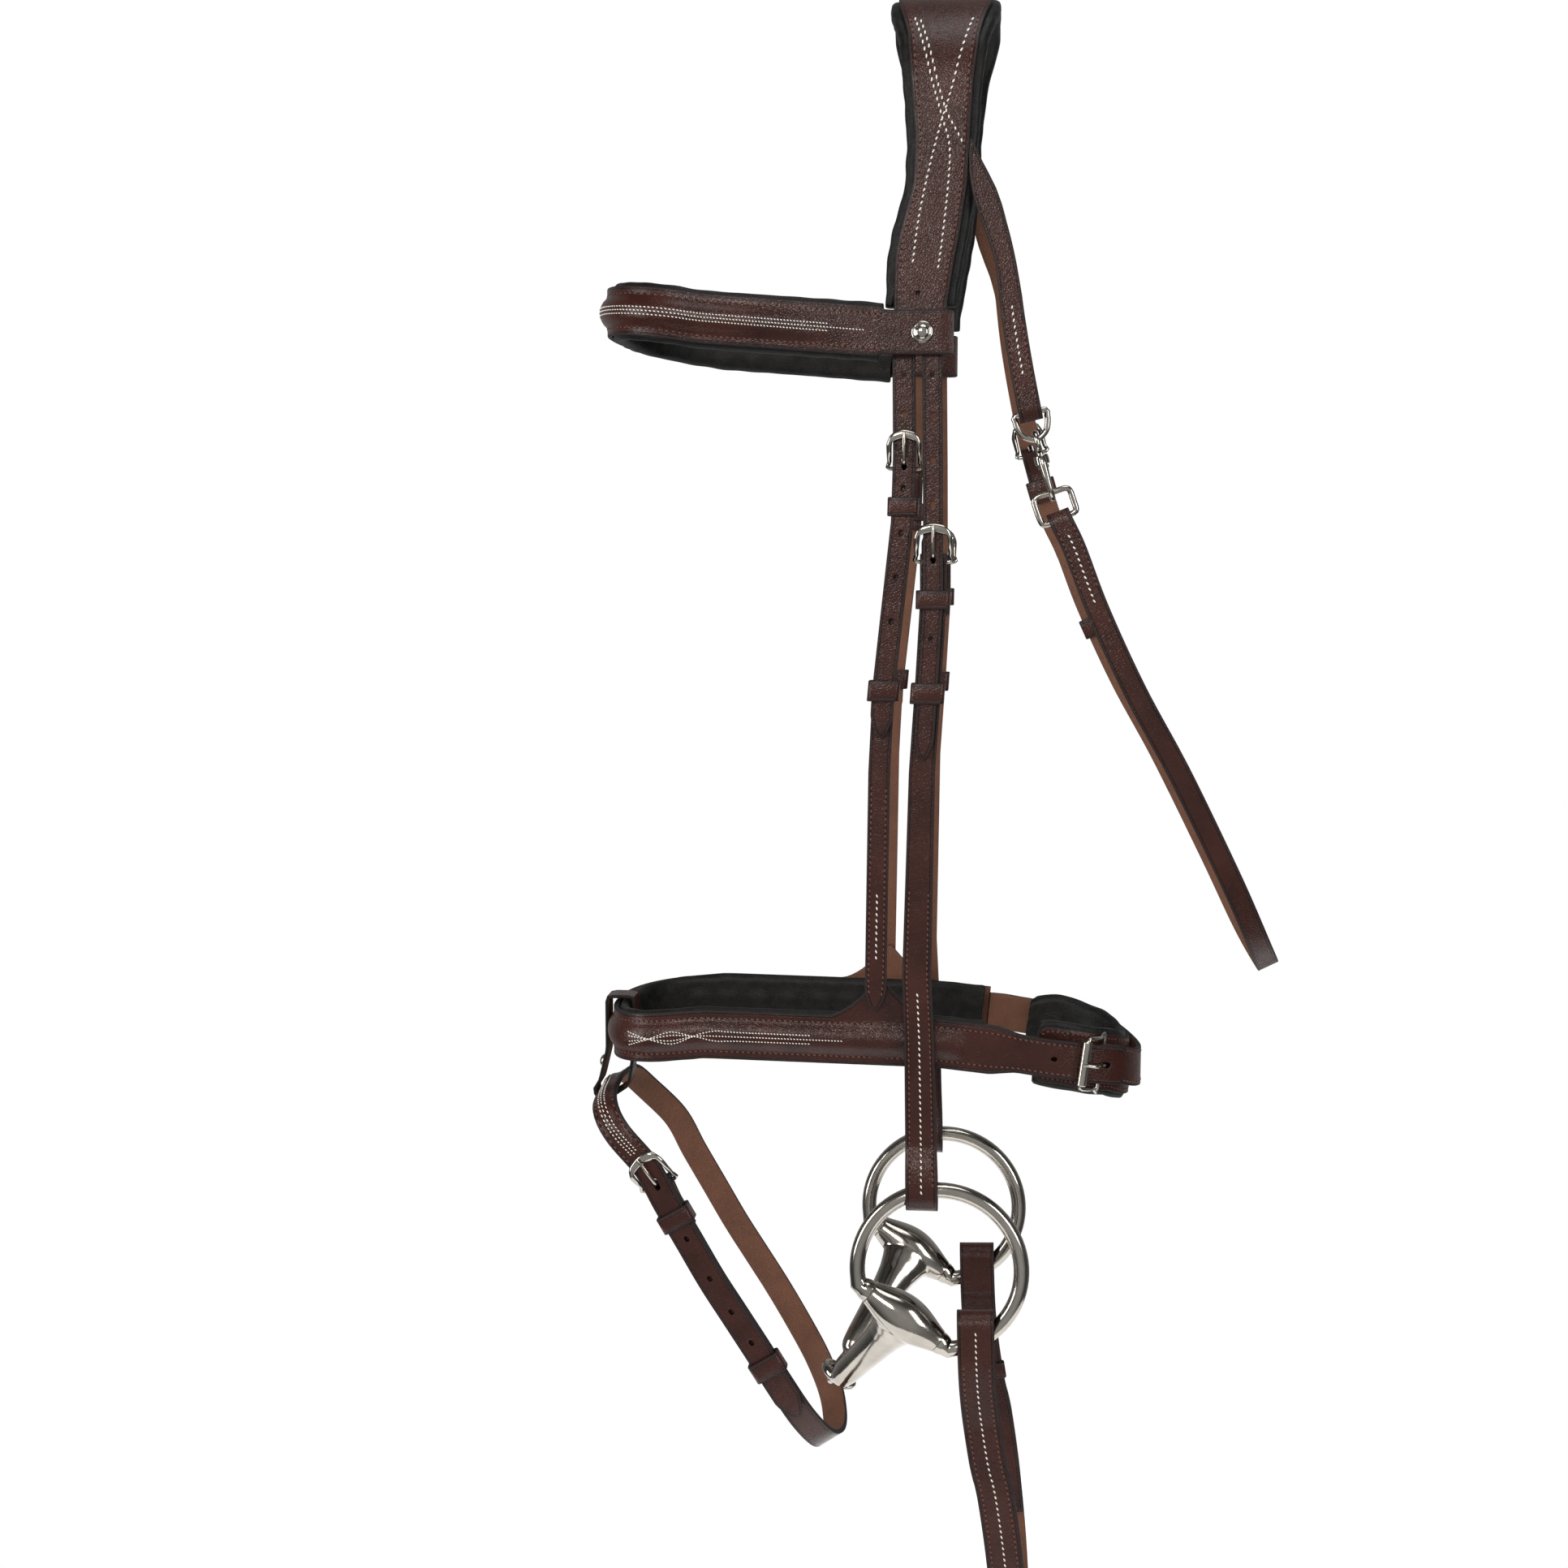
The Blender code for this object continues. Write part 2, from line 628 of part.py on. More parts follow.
def make_browband():
    """The browband folded round the straps at each end, its lining and its two press studs."""
    outer = BROW_LINING + GAP + LEATHER / 2
    inner = -0.6
    rear, front = BROW_AT + LOOP_REAR, BROW_AT + LOOP_FRONT
    hook = [(rear - 1.1, outer), (rear, outer - 1.1), (rear, inner + 1.1), (rear - 1.1, inner),
            (front + 1.1, inner), (front, inner + 1.1), (front, outer - LEATHER / 2 - GAP)]
    path = [*[(-s, t) for s, t in reversed(hook)], *hook]

    def edge(s):
        half = BROWBAND_HALF if abs(s) < front - 3 else 9.8
        return -half, half

    reach = front - 12.0

    def ridge(s):
        return BROW_RIDGE * min(1.0, max(0.0, (reach - abs(s)) / 70.0))

    strap("browband", BROW, path, edge, 5.0, ridge)
    end = front - 1.7
    section_strap("browband_lining", BROW, -end, end,
                  lambda s: [(-13.0, 2.0), (-10.5, 0), (10.5, 0), (13.0, 2.0), (13.0, BROW_LINING - 1.6),
                             (11.4, BROW_LINING), (-11.4, BROW_LINING), (-13.0, BROW_LINING - 1.6)],
                  LINING_LOOK, step=5.0)
    for side, prefix in ((-1, "near"), (1, "off")):
        base = BROW.at(side * (BROW_AT - 8.6), 0, outer + LEATHER / 2 + GAP)
        bm = bmesh.new()
        rod_mesh(bm, base, BROW.frame(side * BROW_AT)[3], [(4.4, 0), (4.4, 0.7), (3.4, 1.5), (1.2, 1.7)], 12)
        finish(prefix + "_browband_stud", bm, METAL_LOOK, smooth=True)


# The noseband's strand, from the chin's near side round the nose to the off side
NOSE_BACK = 92.0
NOSE_FRONT = -157.0
NOSE_LINING_IN = -6.0
NOSE_IN = -0.2
FLARE_OUT = NOSE_IN + LEATHER
NOSE_RIDGE = 3.0
LINING_PAST = 1.2
CHIN_X = 45.0
CHIN_FRONT = 98.0


def nose_height(x):
    return between([(NOSE_FRONT, -475.5), (-110, -470.5), (0, -472.5), (30, -475.5), (62, -480.0), (88, -485.5),
                    (98, -490.5)], x)[0]


def nose_line():
    """The whole loop from the near side of the chin forward, round the nose and back to the chin."""
    nose = front_line(HEAD_HALF, CHIN_X, NOSE_FRONT, 34.0, nose_height)
    chin = []
    for k in range(1, 25):
        a = math.pi / 2 * k / 24
        x = CHIN_X + (CHIN_FRONT - CHIN_X) * math.sin(a)
        chin.append((x, HEAD_HALF * math.cos(a)))
    near = [Vector((x, -y, nose_height(x))) for x, y in reversed(chin)]
    off = [Vector((x, y, nose_height(x))) for x, y in chin]
    return near, nose, off


NEAR_CHIN, NOSE_MIDDLE, OFF_CHIN = nose_line()
NOSE = Strand([*NEAR_CHIN, *NOSE_MIDDLE, *OFF_CHIN, *NEAR_CHIN[1:]], lambda p: Vector((0, 0, 1)), (1, 0, 0))
NOSE_LAP = sum((b - a).length for a, b in zip(NEAR_CHIN, NEAR_CHIN[1:]))
NOSE_ALL = NOSE.length[-1] - NOSE_LAP
NOSE.start = -(NOSE_ALL / 2)
CHIN_AT = NOSE_ALL / 2
SIDE_FROM_CHIN = NOSE_LAP


def nose_s(x):
    """The distance from the nose's middle back to a place x on the straight sides."""
    return CHIN_AT - SIDE_FROM_CHIN - (CHIN_X - x)


CHIN_BAR = 41.0
CHIN_TIP = 28.0
CHIN_ROLLER = 2.3
CHIN_LIFT = NOSE_IN + LEATHER / 2 - BILLET_T


def make_noseband():
    """The noseband from its near billet round to the off side, and its lining."""
    tip = -(CHIN_AT - CHIN_TIP)
    off_end = nose_s(22.0)
    ridge_end = nose_s(12.0)
    flare = nose_s(-29.0)

    def section(s):
        reach = abs(s)
        half = NOSEBAND_HALF - (NOSEBAND_HALF - CHIN_HALF) * min(1.0, max(0.0, (reach - nose_s(24.0)) / 12.0))
        half = min(half, 3.0 + (s - tip) * 0.85)
        rise = max(0.0, 1.0 - abs(reach - flare) / 24.0) ** 1.6 * 19.0
        ridge = NOSE_RIDGE * min(1.0, max(0.0, (ridge_end - reach) / 14.0))
        return [(-half, NOSE_IN), (-half, FLARE_OUT), (-half * 0.57, FLARE_OUT),
                (-half * 0.31, FLARE_OUT + ridge), (half * 0.31, FLARE_OUT + ridge),
                (half * 0.57, FLARE_OUT), (half + rise, FLARE_OUT), (half + rise, NOSE_IN)]

    band = section_strap("noseband", NOSE, tip, off_end, section, step=5.0)
    hole_billet(band, NOSE, -(CHIN_AT - CHIN_BAR), -1, lambda s: 0.0, CHIN_LIFT)

    def lining(s):
        half = NOSEBAND_HALF + LINING_PAST
        return [(-half, NOSE_LINING_IN + 2), (2 - half, NOSE_LINING_IN), (half - 2, NOSE_LINING_IN),
                (half, NOSE_LINING_IN + 2), (half, NOSE_IN - GAP - 1.4), (half - 1.4, NOSE_IN - GAP),
                (1.4 - half, NOSE_IN - GAP), (-half, NOSE_IN - GAP - 1.4)]

    end = nose_s(19.0)
    section_strap("noseband_lining", NOSE, -end, end, lining, LINING_LOOK, step=5.0)


def make_chin():
    """The strap round the chin from the noseband's off side to its roller buckle, and its pad."""
    bar = CHIN_AT + CHIN_BAR
    way = -1
    main = CHIN_LIFT + MAIN_T
    path = turn_path(bar, way, CHIN_LIFT, 20.0)
    path.append((nose_s(38.0), main))
    path.append((nose_s(22.0), NOSE_IN - GAP - LEATHER / 2 - 0.2))
    chin = strap("chin_strap", NOSE, path, even(CHIN_HALF), step=5.0)
    slot_turn(chin, NOSE, bar, way, lambda s: 0.0, CHIN_LIFT)
    buckle("chin", NOSE, bar, way, lambda s: 0.0, CHIN_HALF + 1.6, CHIN_LIFT, CHIN_ROLLER)
    inside = CHIN_LIFT + RETURN_T - LEATHER / 2 - 2.4

    def pad(s):
        share = min(1.0, (s - pad_from) / 16.0, (pad_to - s) / 16.0)
        half = 10.0 + 6.0 * max(0.0, share) ** 0.5
        return [(-half, inside - 4.0), (2.5 - half, inside - 6.0), (half - 2.5, inside - 6.0),
                (half, inside - 4.0), (half, inside - 1.2), (half - 1.5, inside), (1.5 - half, inside),
                (-half, inside - 1.2)]

    pad_from, pad_to = nose_s(42.0), CHIN_AT + CHIN_BAR + 22.0
    section_strap("chin_pad", NOSE, pad_from, pad_to, pad, LINING_LOOK, step=5.0)


# The flash strap's strand: from the top down the near side, under the chin and up the off side
FLASH_NEAR = [(-156.5, -28, -514), (-151, -37, -521), (-137, -40, -535.5), (-128, -40, -552),
              (-117, -40, -571), (-106, -40, -590), (-95, -40, -607), (-84, -40, -624), (-73, -39, -642),
              (-64, -36, -657), (-57, -27, -669), (-54, -14, -675)]
FLASH_TOP = (-158.5, 0, -512)
FLASH_FOOT = (-53, 0, -677)
FLASH_BAR_Z = -545.0
FLASH_TIP = 128.0


def loop_line(top, near, foot):
    """A closed loop through a top point, down a near side, through a foot and up the off side."""
    off = [(x, -y, z) for x, y, z in reversed(near)]
    return smooth_line([top, *near, foot, *off, top])


def loop_s(strand, height, low, high):
    """Where a strand passes a height, between two distances along it."""
    for _ in range(30):
        middle = (low + high) / 2
        if (strand.point(middle).z > height) == (strand.point(low).z > height):
            low = middle
        else:
            high = middle
    return low


FLASH_LOOP = loop_line(FLASH_TOP, FLASH_NEAR, FLASH_FOOT)
FLASH = Strand([*FLASH_LOOP, *FLASH_LOOP[1:len(FLASH_LOOP) // 2]], lambda p: Vector((0.83, 0, 0.56)), (0, 0, 1))
FLASH_ROUND = sum((b - a).length for a, b in zip(FLASH_LOOP, FLASH_LOOP[1:]))


def make_flash():
    """The flash strap, which laps over itself on the near side, and the loop that carries it."""
    bar = loop_s(FLASH, FLASH_BAR_Z, 30, 120)
    tip = FLASH_ROUND + bar + FLASH_TIP
    path = turn_path(bar, 1, 0.0, 24.0)
    path.append((FLASH_ROUND * 0.55, MAIN_T))
    path.append((FLASH_ROUND * 0.75, BILLET_T))
    path.append((tip, BILLET_T))

    def edge(s):
        half = min(FLASH_HALF, 2.0 + max(0.0, tip - s) * 0.7)
        return -half, half

    def ridge(s):
        return FLASH_RIDGE * max(0.0, 1.0 - max(0.0, abs(s - FLASH_ROUND - 18.0) - 22.0) / 12.0)

    flash = strap("flash_strap", FLASH, path, edge, 5.0, ridge)
    slot_turn(flash, FLASH, bar, 1, lambda s: 0.0)
    hole_billet(flash, FLASH, FLASH_ROUND + bar, 1, lambda s: 0.0)
    buckle("flash", FLASH, bar, 1, lambda s: 0.0, FLASH_HALF)
    sewn_keeper("flash_keeper", FLASH, bar, 1, lambda s: 0.0, FLASH_HALF)
    start = bar + 96.0
    runner("flash_runner", FLASH, (start, start + RUNNER_LENGTH), lambda s: 0.0, FLASH_HALF)
    make_flash_loop()


FLASH_RIDGE = 2.2
FLASH_LOOP_WALL = 1.6
FLASH_LOOP_HALF = 7.0


def make_flash_loop():
    """The band round the noseband's front that carries the flash strap's top crossing."""
    clear = GAP + FLASH_LOOP_WALL / 2
    front = NOSE_FRONT - FLARE_OUT - NOSE_RIDGE - clear
    back = NOSE_FRONT - NOSE_LINING_IN + clear
    top = nose_height(NOSE_FRONT) + NOSEBAND_HALF + LINING_PAST + clear
    under = nose_height(NOSE_FRONT) - NOSEBAND_HALF - LINING_PAST
    side = FLASH_HALF + clear + SLIDE_GAP
    low = MAIN_T - LEATHER / 2 - clear - SLIDE_GAP
    high = BILLET_T + LEATHER / 2 + clear
    strap_places = [(side, low), (-side, low), (-side, high), (-FLASH_HALF * 0.4, high + FLASH_RIDGE)]
    corners = [(front, top), (back, top), (back, under)]
    corners += [(point.x, point.z) for point in (FLASH.at(FLASH_ROUND, w, t) for w, t in strap_places)]
    corners.append((front, under))
    pairs = sides_of([corners[-1], *corners, corners[0]], FLASH_LOOP_WALL / 2)[1:-1]
    bm = bmesh.new()
    add_rings(bm, [[Vector((x, y, z)) for (x, z), y in ((one, -FLASH_LOOP_HALF), (one, FLASH_LOOP_HALF),
                                                       (two, FLASH_LOOP_HALF), (two, -FLASH_LOOP_HALF))]
                   for one, two in pairs], closed=True)
    finish("flash_loop", bm, LEATHER_LOOK)


# The throatlatch's strand: from the crown down the near side, under the throat and up the off side
THROAT_BASE = HEAD_HALF + 2.5
THROAT_NEAR = [(19.8, -THROAT_BASE, -76), (27, -THROAT_BASE, -107), (32.3, -THROAT_BASE, -145),
               (38.8, -THROAT_BASE, -179), (44, -THROAT_BASE, -200), (52, -THROAT_BASE, -226),
               (60, -THROAT_BASE, -243), (71, -THROAT_BASE, -271), (88, -THROAT_BASE, -307),
               (109, -44, -345), (133, -38, -393), (147, -26, -423)]
THROAT_TOP = (18.6, -THROAT_BASE, -63)
THROAT_FOOT = (153, 0, -434)
THROAT_TILT = [(-430, 27.0), (-260, 26.0), (-180, 13.0), (-60, 14.0)]
D_RING_Z = -183.0
THROAT_BAR_Z = -196.0
RING_WIRE_SMALL = 1.4
THROAT_LOOP = RING_WIRE_SMALL + GAP + LEATHER / 2
SNAP_T = BILLET_T - THROAT_LOOP
D_RING_LENGTH = 12.0
SNAP_RING_TOP = 36.6
SNAP_RING_FOOT = 49.0


def throat_across(point):
    angle = math.radians(between(THROAT_TILT, point.z)[0])
    return Vector((math.cos(angle), 0, math.sin(angle)))


def throat_line():
    off = [(x, -y, z) for x, y, z in reversed([THROAT_TOP, *THROAT_NEAR])]
    return smooth_line([THROAT_TOP, *THROAT_NEAR, THROAT_FOOT, *off])


THROAT = Strand(throat_line(), throat_across, (0, -1, 0))
THROAT_END = THROAT.length[-1]


def make_throat():
    """The throatlatch: near strap, rings and snap, lower strap, off buckle and billet."""
    d_ring = loop_s(THROAT, D_RING_Z, 0, 300)
    low_ring = d_ring + SNAP_RING_FOOT
    path = turn_path(d_ring, -1, 0.0, 24.0, SNAP_T, THROAT_LOOP, BILLET_T)
    path.append((0.0, BILLET_T))
    strap("near_throat_strap", THROAT, path, even(THROAT_HALF))
    bar = loop_s(THROAT, THROAT_BAR_Z, THROAT_END, THROAT_END / 2)
    path = turn_path(low_ring, 1, 0.0, 24.0, SNAP_T, THROAT_LOOP, BILLET_T)
    path.append((THROAT_END * 0.5, BILLET_T))
    path.append((THROAT_END * 0.65, MAIN_T))
    path += reversed(turn_path(bar, -1, 0.0, 24.0))
    throat = strap("throat_strap", THROAT, path, even(THROAT_HALF))
    slot_turn(throat, THROAT, bar, -1, lambda s: 0.0)
    tip = bar - 62.0
    billet = strap("off_throat_billet", THROAT, [(tip, BILLET_T), (tip + 8, BILLET_T), (THROAT_END, BILLET_T)],
                   lambda s: (-min(THROAT_HALF, 1.5 + (s - tip) * 0.6), min(THROAT_HALF, 1.5 + (s - tip) * 0.6)))
    hole_billet(billet, THROAT, bar, -1, lambda s: 0.0)
    buckle("throat", THROAT, bar, -1, lambda s: 0.0, THROAT_HALF)
    sewn_keeper("throat_keeper", THROAT, bar, -1, lambda s: 0.0, THROAT_HALF)

    def place(w, s, t=0.0):
        return THROAT.at(d_ring + s, w, SNAP_T + t)

    arc = [(-7, 0), (7, 0), (7, 5), (5, 9.5), (0, D_RING_LENGTH), (-5, 9.5), (-7, 5)]
    wire("throat_d_ring", [place(w, s) for w, s in arc], RING_WIRE_SMALL)
    foot = SNAP_RING_FOOT
    arc = [(-6.5, SNAP_RING_TOP), (6.5, SNAP_RING_TOP), (8.5, SNAP_RING_TOP + 2.4), (8.5, foot - 2), (7, foot),
           (-7, foot), (-8.5, foot - 2), (-8.5, SNAP_RING_TOP + 2.4)]
    wire("throat_ring", [place(w, s) for w, s in arc], RING_WIRE_SMALL)
    make_snap(place)


def make_snap(place):
    """The snap hook: an eye that swivels in a collar, the hook below the collar and its gate."""
    eye, wire_r = 4.2, 1.3
    middle = D_RING_LENGTH + eye - wire_r - RING_WIRE_SMALL - GAP
    ring = [place(0, middle + eye * math.cos(a), eye * math.sin(a)) for a in (math.pi * k / 6 for k in range(12))]
    swivel = wire("snap_swivel", ring, wire_r)
    down_stem = middle + eye
    way = place(0, down_stem + 8) - place(0, down_stem)
    bm = bmesh.new()
    rod_mesh(bm, place(0, down_stem - 0.3), way,
             [(1.5, 0), (1.5, 6.9), (2.5, 6.91), (2.5, 8.3)], 8)
    combine(swivel, "snap_stem", bm, "UNION")
    collar = down_stem + 1.9
    bm = bmesh.new()
    turned_mesh(bm, place(0, collar), way, [(1.9, 0), (3.2, 0), (3.4, 2.1), (3.2, 4.2), (1.9, 4.2)], 12)
    hook = finish("snap_hook", bm, METAL_LOOK, smooth=True)
    bend = [(collar + 1.4, 3.8), (24.4, 4.4), (31, 5.0), (36, 4.2), (39.0, 1.6), (39.6, -1.0), (38.4, -3.6),
            (35.6, -4.8)]
    bm = bmesh.new()
    wire_mesh(bm, [place(0, s, t) for s, t in bend], wire_r, 8, closed=False)
    combine(hook, "snap_bend", bm, "UNION")
    gate_top = collar + 5.6
    bm = bmesh.new()
    wire_mesh(bm, [place(0, collar + 2.0, -3.7), place(0, gate_top - 0.4, -4.0)], 1.1, 8, closed=False)
    combine(hook, "snap_lug", bm, "UNION")
    wire("snap_gate", [place(0, gate_top, -4.0), place(0, (gate_top + 33.8) / 2, -4.6), place(0, 33.8, -4.8)], 1.1,
         8, closed=False)


def ring_point(degrees, radius=RING_RADIUS):
    angle = math.radians(degrees)
    return Vector((RING_X + radius * math.cos(angle), 0, RING_Z + radius * math.sin(angle)))


BARREL_A = ring_point(BARREL_FROM)
BARREL_B = ring_point(BARREL_TO)
BARREL_WAY = (BARREL_B - BARREL_A).normalized()
MOUTH_WAY = Vector((BARREL_WAY.z, 0, -BARREL_WAY.x))
BARREL_MID = (BARREL_A + BARREL_B) / 2


def make_bit(side, prefix):
    """One side of the snaffle: a ring with its straight pin, and the arm whose barrel turns on it."""
    at_y = Vector((0, side * RING_Y, 0))
    turn = 360.0 + BARREL_TO
    count = 26
    points = [ring_point(turn + (BARREL_FROM + 360 - turn - 0.0) * k / count) for k in range(count + 1)]
    radii = [RING_WIRE] * len(points)
    radii[0] = radii[-1] = PIN + 0.6
    pin = [BARREL_A + (BARREL_B - BARREL_A) * k / 4 for k in range(5)]
    inset = BARREL_WAY * 5.0
    line = [*points, BARREL_A + inset, pin[2], BARREL_B - inset]
    radii += [PIN] * 3
    wire(prefix + "_ring", [p + at_y for p in line], radii, 10)
    half = (BARREL_B - BARREL_A).length / 2 - 6.5
    bore = PIN + PIN_GAP
    outline = [(bore, -half), (BARREL_END, -half), (BARREL_END + 1.8, -half * 0.72), (BARREL_MIDDLE, -half * 0.28),
               (BARREL_MIDDLE, half * 0.28), (BARREL_END + 1.8, half * 0.72), (BARREL_END, half), (bore, half)]
    bm = bmesh.new()
    turned_mesh(bm, BARREL_MID + at_y, BARREL_WAY, outline, 16)
    arm = finish(prefix + "_arm", bm, METAL_LOOK, smooth=True)
    apart = EYE_RADIUS - EYE_WIRE - EYE_SLACK / 2
    eye = BARREL_MID + MOUTH_WAY * MOUTH_DROP + Vector((0, side * apart, 0))
    root = BARREL_MID + at_y
    target = eye + Vector((0, side * EYE_RADIUS, 0)) if side < 0 else eye + (root - eye).normalized() * EYE_RADIUS
    way = (target - root).normalized()
    reach = (target - root).length - 5.0
    bm = bmesh.new()
    rod_mesh(bm, root + way * 5.0, way, [(6.6, 0), (7.0, 8), (6.2, 22), (5.0, 38), (3.6, reach - 6.5),
                                         (4.2, reach - 4.0), (2.1, reach)], 12)
    combine(arm, prefix + "_mouth", bm, "UNION")
    other = BARREL_WAY if side < 0 else MOUTH_WAY
    ring = [eye + Vector((0, side, 0)) * (EYE_RADIUS * math.cos(a)) + other * (EYE_RADIUS * math.sin(a))
            for a in (math.pi * k / 8 for k in range(16))]
    bm = bmesh.new()
    wire_mesh(bm, ring, EYE_WIRE, 8)
    combine(arm, prefix + "_eye", bm, "UNION")


# A rein's strand, from the bit ring down; the length past the photograph is folded under it
REIN_LINE = [(18.8, -590), (20.7, -637), (25.5, -672), (29.3, -688), (34.6, -725), (39.0, -775), (42, -850),
             (43, -920), (43, -1040)]


def rein_strand(side):
    return Strand(smooth_line([(x, side * RING_Y, z) for x, z in REIN_LINE], 5.0), lambda p: Vector((1, 0, 0)),
                  (0, side, 0))


def least_gap(strand, path):
    """The least gap in mm between a folded strap and itself, measured on points of its middle line."""
    points = [strand.at(s, 0, t) for s, t in even_path(path, 4.0)]
    run = [0.0]
    for one, two in zip(points, points[1:]):
        run.append(run[-1] + (two - one).length)
    bend = math.pi * FOLD_STEP / 2
    return min((points[j] - points[i]).length - LEATHER
               for i in range(len(points)) for j in range(i + 1, len(points)) if run[j] - run[i] > bend)


def make_rein(side, prefix):
    """A rein: looped round the bit ring, run down past the view and folded in a flat hank."""
    strand = rein_strand(side)

    def s_at(depth):
        return loop_s(strand, -depth, 0, strand.length[-1])

    top = s_at(REIN_TOP)
    path = [(s_at(REIN_RETURN_END), -3.0), (s_at(655), -3.0), (s_at(624), -REIN_SPREAD)]
    for k in range(9):
        angle = math.radians(-90 + 22.5 * k)
        path.append((top + REIN_SPREAD * (1 - math.cos(angle)), REIN_SPREAD * math.sin(angle)))
    path += [(s_at(624), REIN_SPREAD), (s_at(655), 1.5), (s_at(750), 0.0)]
    low, high = s_at(FOLD_LOW), s_at(FOLD_HIGH)
    half = FOLD_STEP / 2
    for fold in range(FOLDS):
        end, bulge = (low, 1) if fold % 2 == 0 else (high, -1)
        for k in range(5):
            angle = math.radians(90 - 45 * k)
            path.append((end + bulge * half * math.cos(angle), -FOLD_STEP * fold - half + half * math.sin(angle)))
    last = -FOLD_STEP * FOLDS
    foot = low + half + (0.0 if side < 0 else LEATHER + GAP)
    for k in range(4):
        angle = math.radians(30 * k)
        path.append((foot - REIN_END_BEND * (1 - math.sin(angle)), last - REIN_END_BEND * (1 - math.cos(angle))))
    if side > 0:
        path.append((foot, -(RING_Y + REIN_PAST)))
    else:
        bar = REIN_BAR - RING_Y
        path.append((foot, bar + TURN + 4.0))
        for k in range(7):
            angle = math.radians(30 * k)
            path.append((foot - TURN * (1 - math.cos(angle)), bar - TURN * math.sin(angle)))
        path.append((foot - 2 * TURN, bar + 9.5))
    rein = strap(prefix + "_rein", strand, path, even(REIN_HALF), 8.0)
    print(prefix + " rein: least gap to itself", round(least_gap(strand, path), 2), "mm")
    return rein, strand.point(low + half) if side < 0 else None


def make_reins():
    """Both reins, the buckle that joins their ends and the loop round their hanks."""
    near, foot = make_rein(-1, "near")
    off, _ = make_rein(1, "off")
    end = Strand([foot + Vector((0, y + RING_Y, MAIN_T)) for y in (-40, 0, 40)], lambda p: Vector((1, 0, 0)),
                 (0, 0, -1), 40.0)
    slot_turn(near, end, -REIN_BAR, -1, lambda s: 0.0)
    hole_billet(off, end, -REIN_BAR, -1, lambda s: 0.0)
    buckle("rein", end, -REIN_BAR, -1, lambda s: 0.0, REIN_HALF)
    strand = rein_strand(-1)
    top = loop_s(strand, -TIE_DEPTH, 0, strand.length[-1])
    clear = LEATHER / 2 + GAP
    bm = bmesh.new()
    loop_mesh(bm, strand, (top, top + TIE_LENGTH), lambda s: (-REIN_HALF - GAP, REIN_HALF + GAP),
              (-2 * RING_Y - clear, clear))
    finish("rein_tie", bm, LEATHER_LOOK)


def main():
    for old in list(bpy.data.objects):
        bpy.data.objects.remove(old, do_unlink=True)
    make_crown()
    for side, prefix in ((-1, "near"), (1, "off")):
        make_cheek(side, prefix)
        make_hanger(side, prefix)
        make_bit(side, prefix)
    make_browband()
    make_noseband()
    make_chin()
    make_flash()
    make_throat()
    make_reins()


main()
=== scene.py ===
"""Looks of a snaffle bridle with a flash noseband: leather, padding, stitching and steel.

Straps are cut flat as thin grids, given their thickness and rounded edges, stitched, and then laid
along the courses that the solids follow. Lengths are millimetres until a piece is laid.
"""
import math

import bmesh
import bpy
import numpy as np
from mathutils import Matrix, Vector


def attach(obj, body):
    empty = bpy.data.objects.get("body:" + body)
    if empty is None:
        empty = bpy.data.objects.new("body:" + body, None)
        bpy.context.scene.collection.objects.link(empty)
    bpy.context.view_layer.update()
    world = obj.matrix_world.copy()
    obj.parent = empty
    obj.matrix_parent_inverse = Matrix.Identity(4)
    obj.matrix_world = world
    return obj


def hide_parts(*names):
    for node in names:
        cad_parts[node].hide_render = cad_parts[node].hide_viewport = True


bl_info = {
    "name": "Bridle looks",
    "version": (1, 0, 0),
    "blender": (4, 5, 0),
    "location": "View3D > Sidebar > Bridle",
    "description": "Leather, padding, stitching and steel of a snaffle bridle",
    "category": "Object",
}

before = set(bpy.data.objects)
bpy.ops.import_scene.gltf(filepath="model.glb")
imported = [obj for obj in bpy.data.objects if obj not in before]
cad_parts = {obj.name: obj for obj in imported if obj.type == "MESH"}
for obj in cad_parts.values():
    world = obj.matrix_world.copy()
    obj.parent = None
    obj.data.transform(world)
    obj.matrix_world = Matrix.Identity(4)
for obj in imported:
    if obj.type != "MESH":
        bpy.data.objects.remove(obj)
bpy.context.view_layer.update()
MM = 0.001

# Leather and clearances
LEATHER = 2.2
GAP = 0.3
CREASE_IN = 1.35

# Loops: keepers are fixed under the buckles, and runners slide
KEEPER_WALL = 1.5
KEEPER_BELOW = 13.0
KEEPER_LENGTH = 8.5
RUNNER_LENGTH = 9.5
CHEEK_RUNNER = 55.0
LONG_RUNNER = 96.0

# The head, and its two sides by the sign of y
HEAD_HALF = 44.0
POLL_RISE = 38.0
SIDES = ((-1, "near"), (1, "off"))

# Stack of layers at a buckle, outward from the head
WIRE = 1.0
BAR_T = 2.0
MAIN_T = BAR_T + WIRE + GAP + LEATHER / 2
RETURN_T = MAIN_T - LEATHER - GAP
BILLET_T = MAIN_T + LEATHER + GAP
TOP_T = BILLET_T + LEATHER / 2 + GAP + WIRE
TURN = WIRE + GAP + LEATHER / 2
BUCKLE_RISE = 14.0
CHEEK_LIFT = LEATHER + GAP

# Depths below the poll
HANGER_BUCKLE = 207.0
CHEEK_BUCKLE = 249.0
HANGER_TIP = 329.0
CHEEK_TIP = 339.0
HANGER_END = 457.0
CROWN_END = 136.5
LINING_END = 135.5

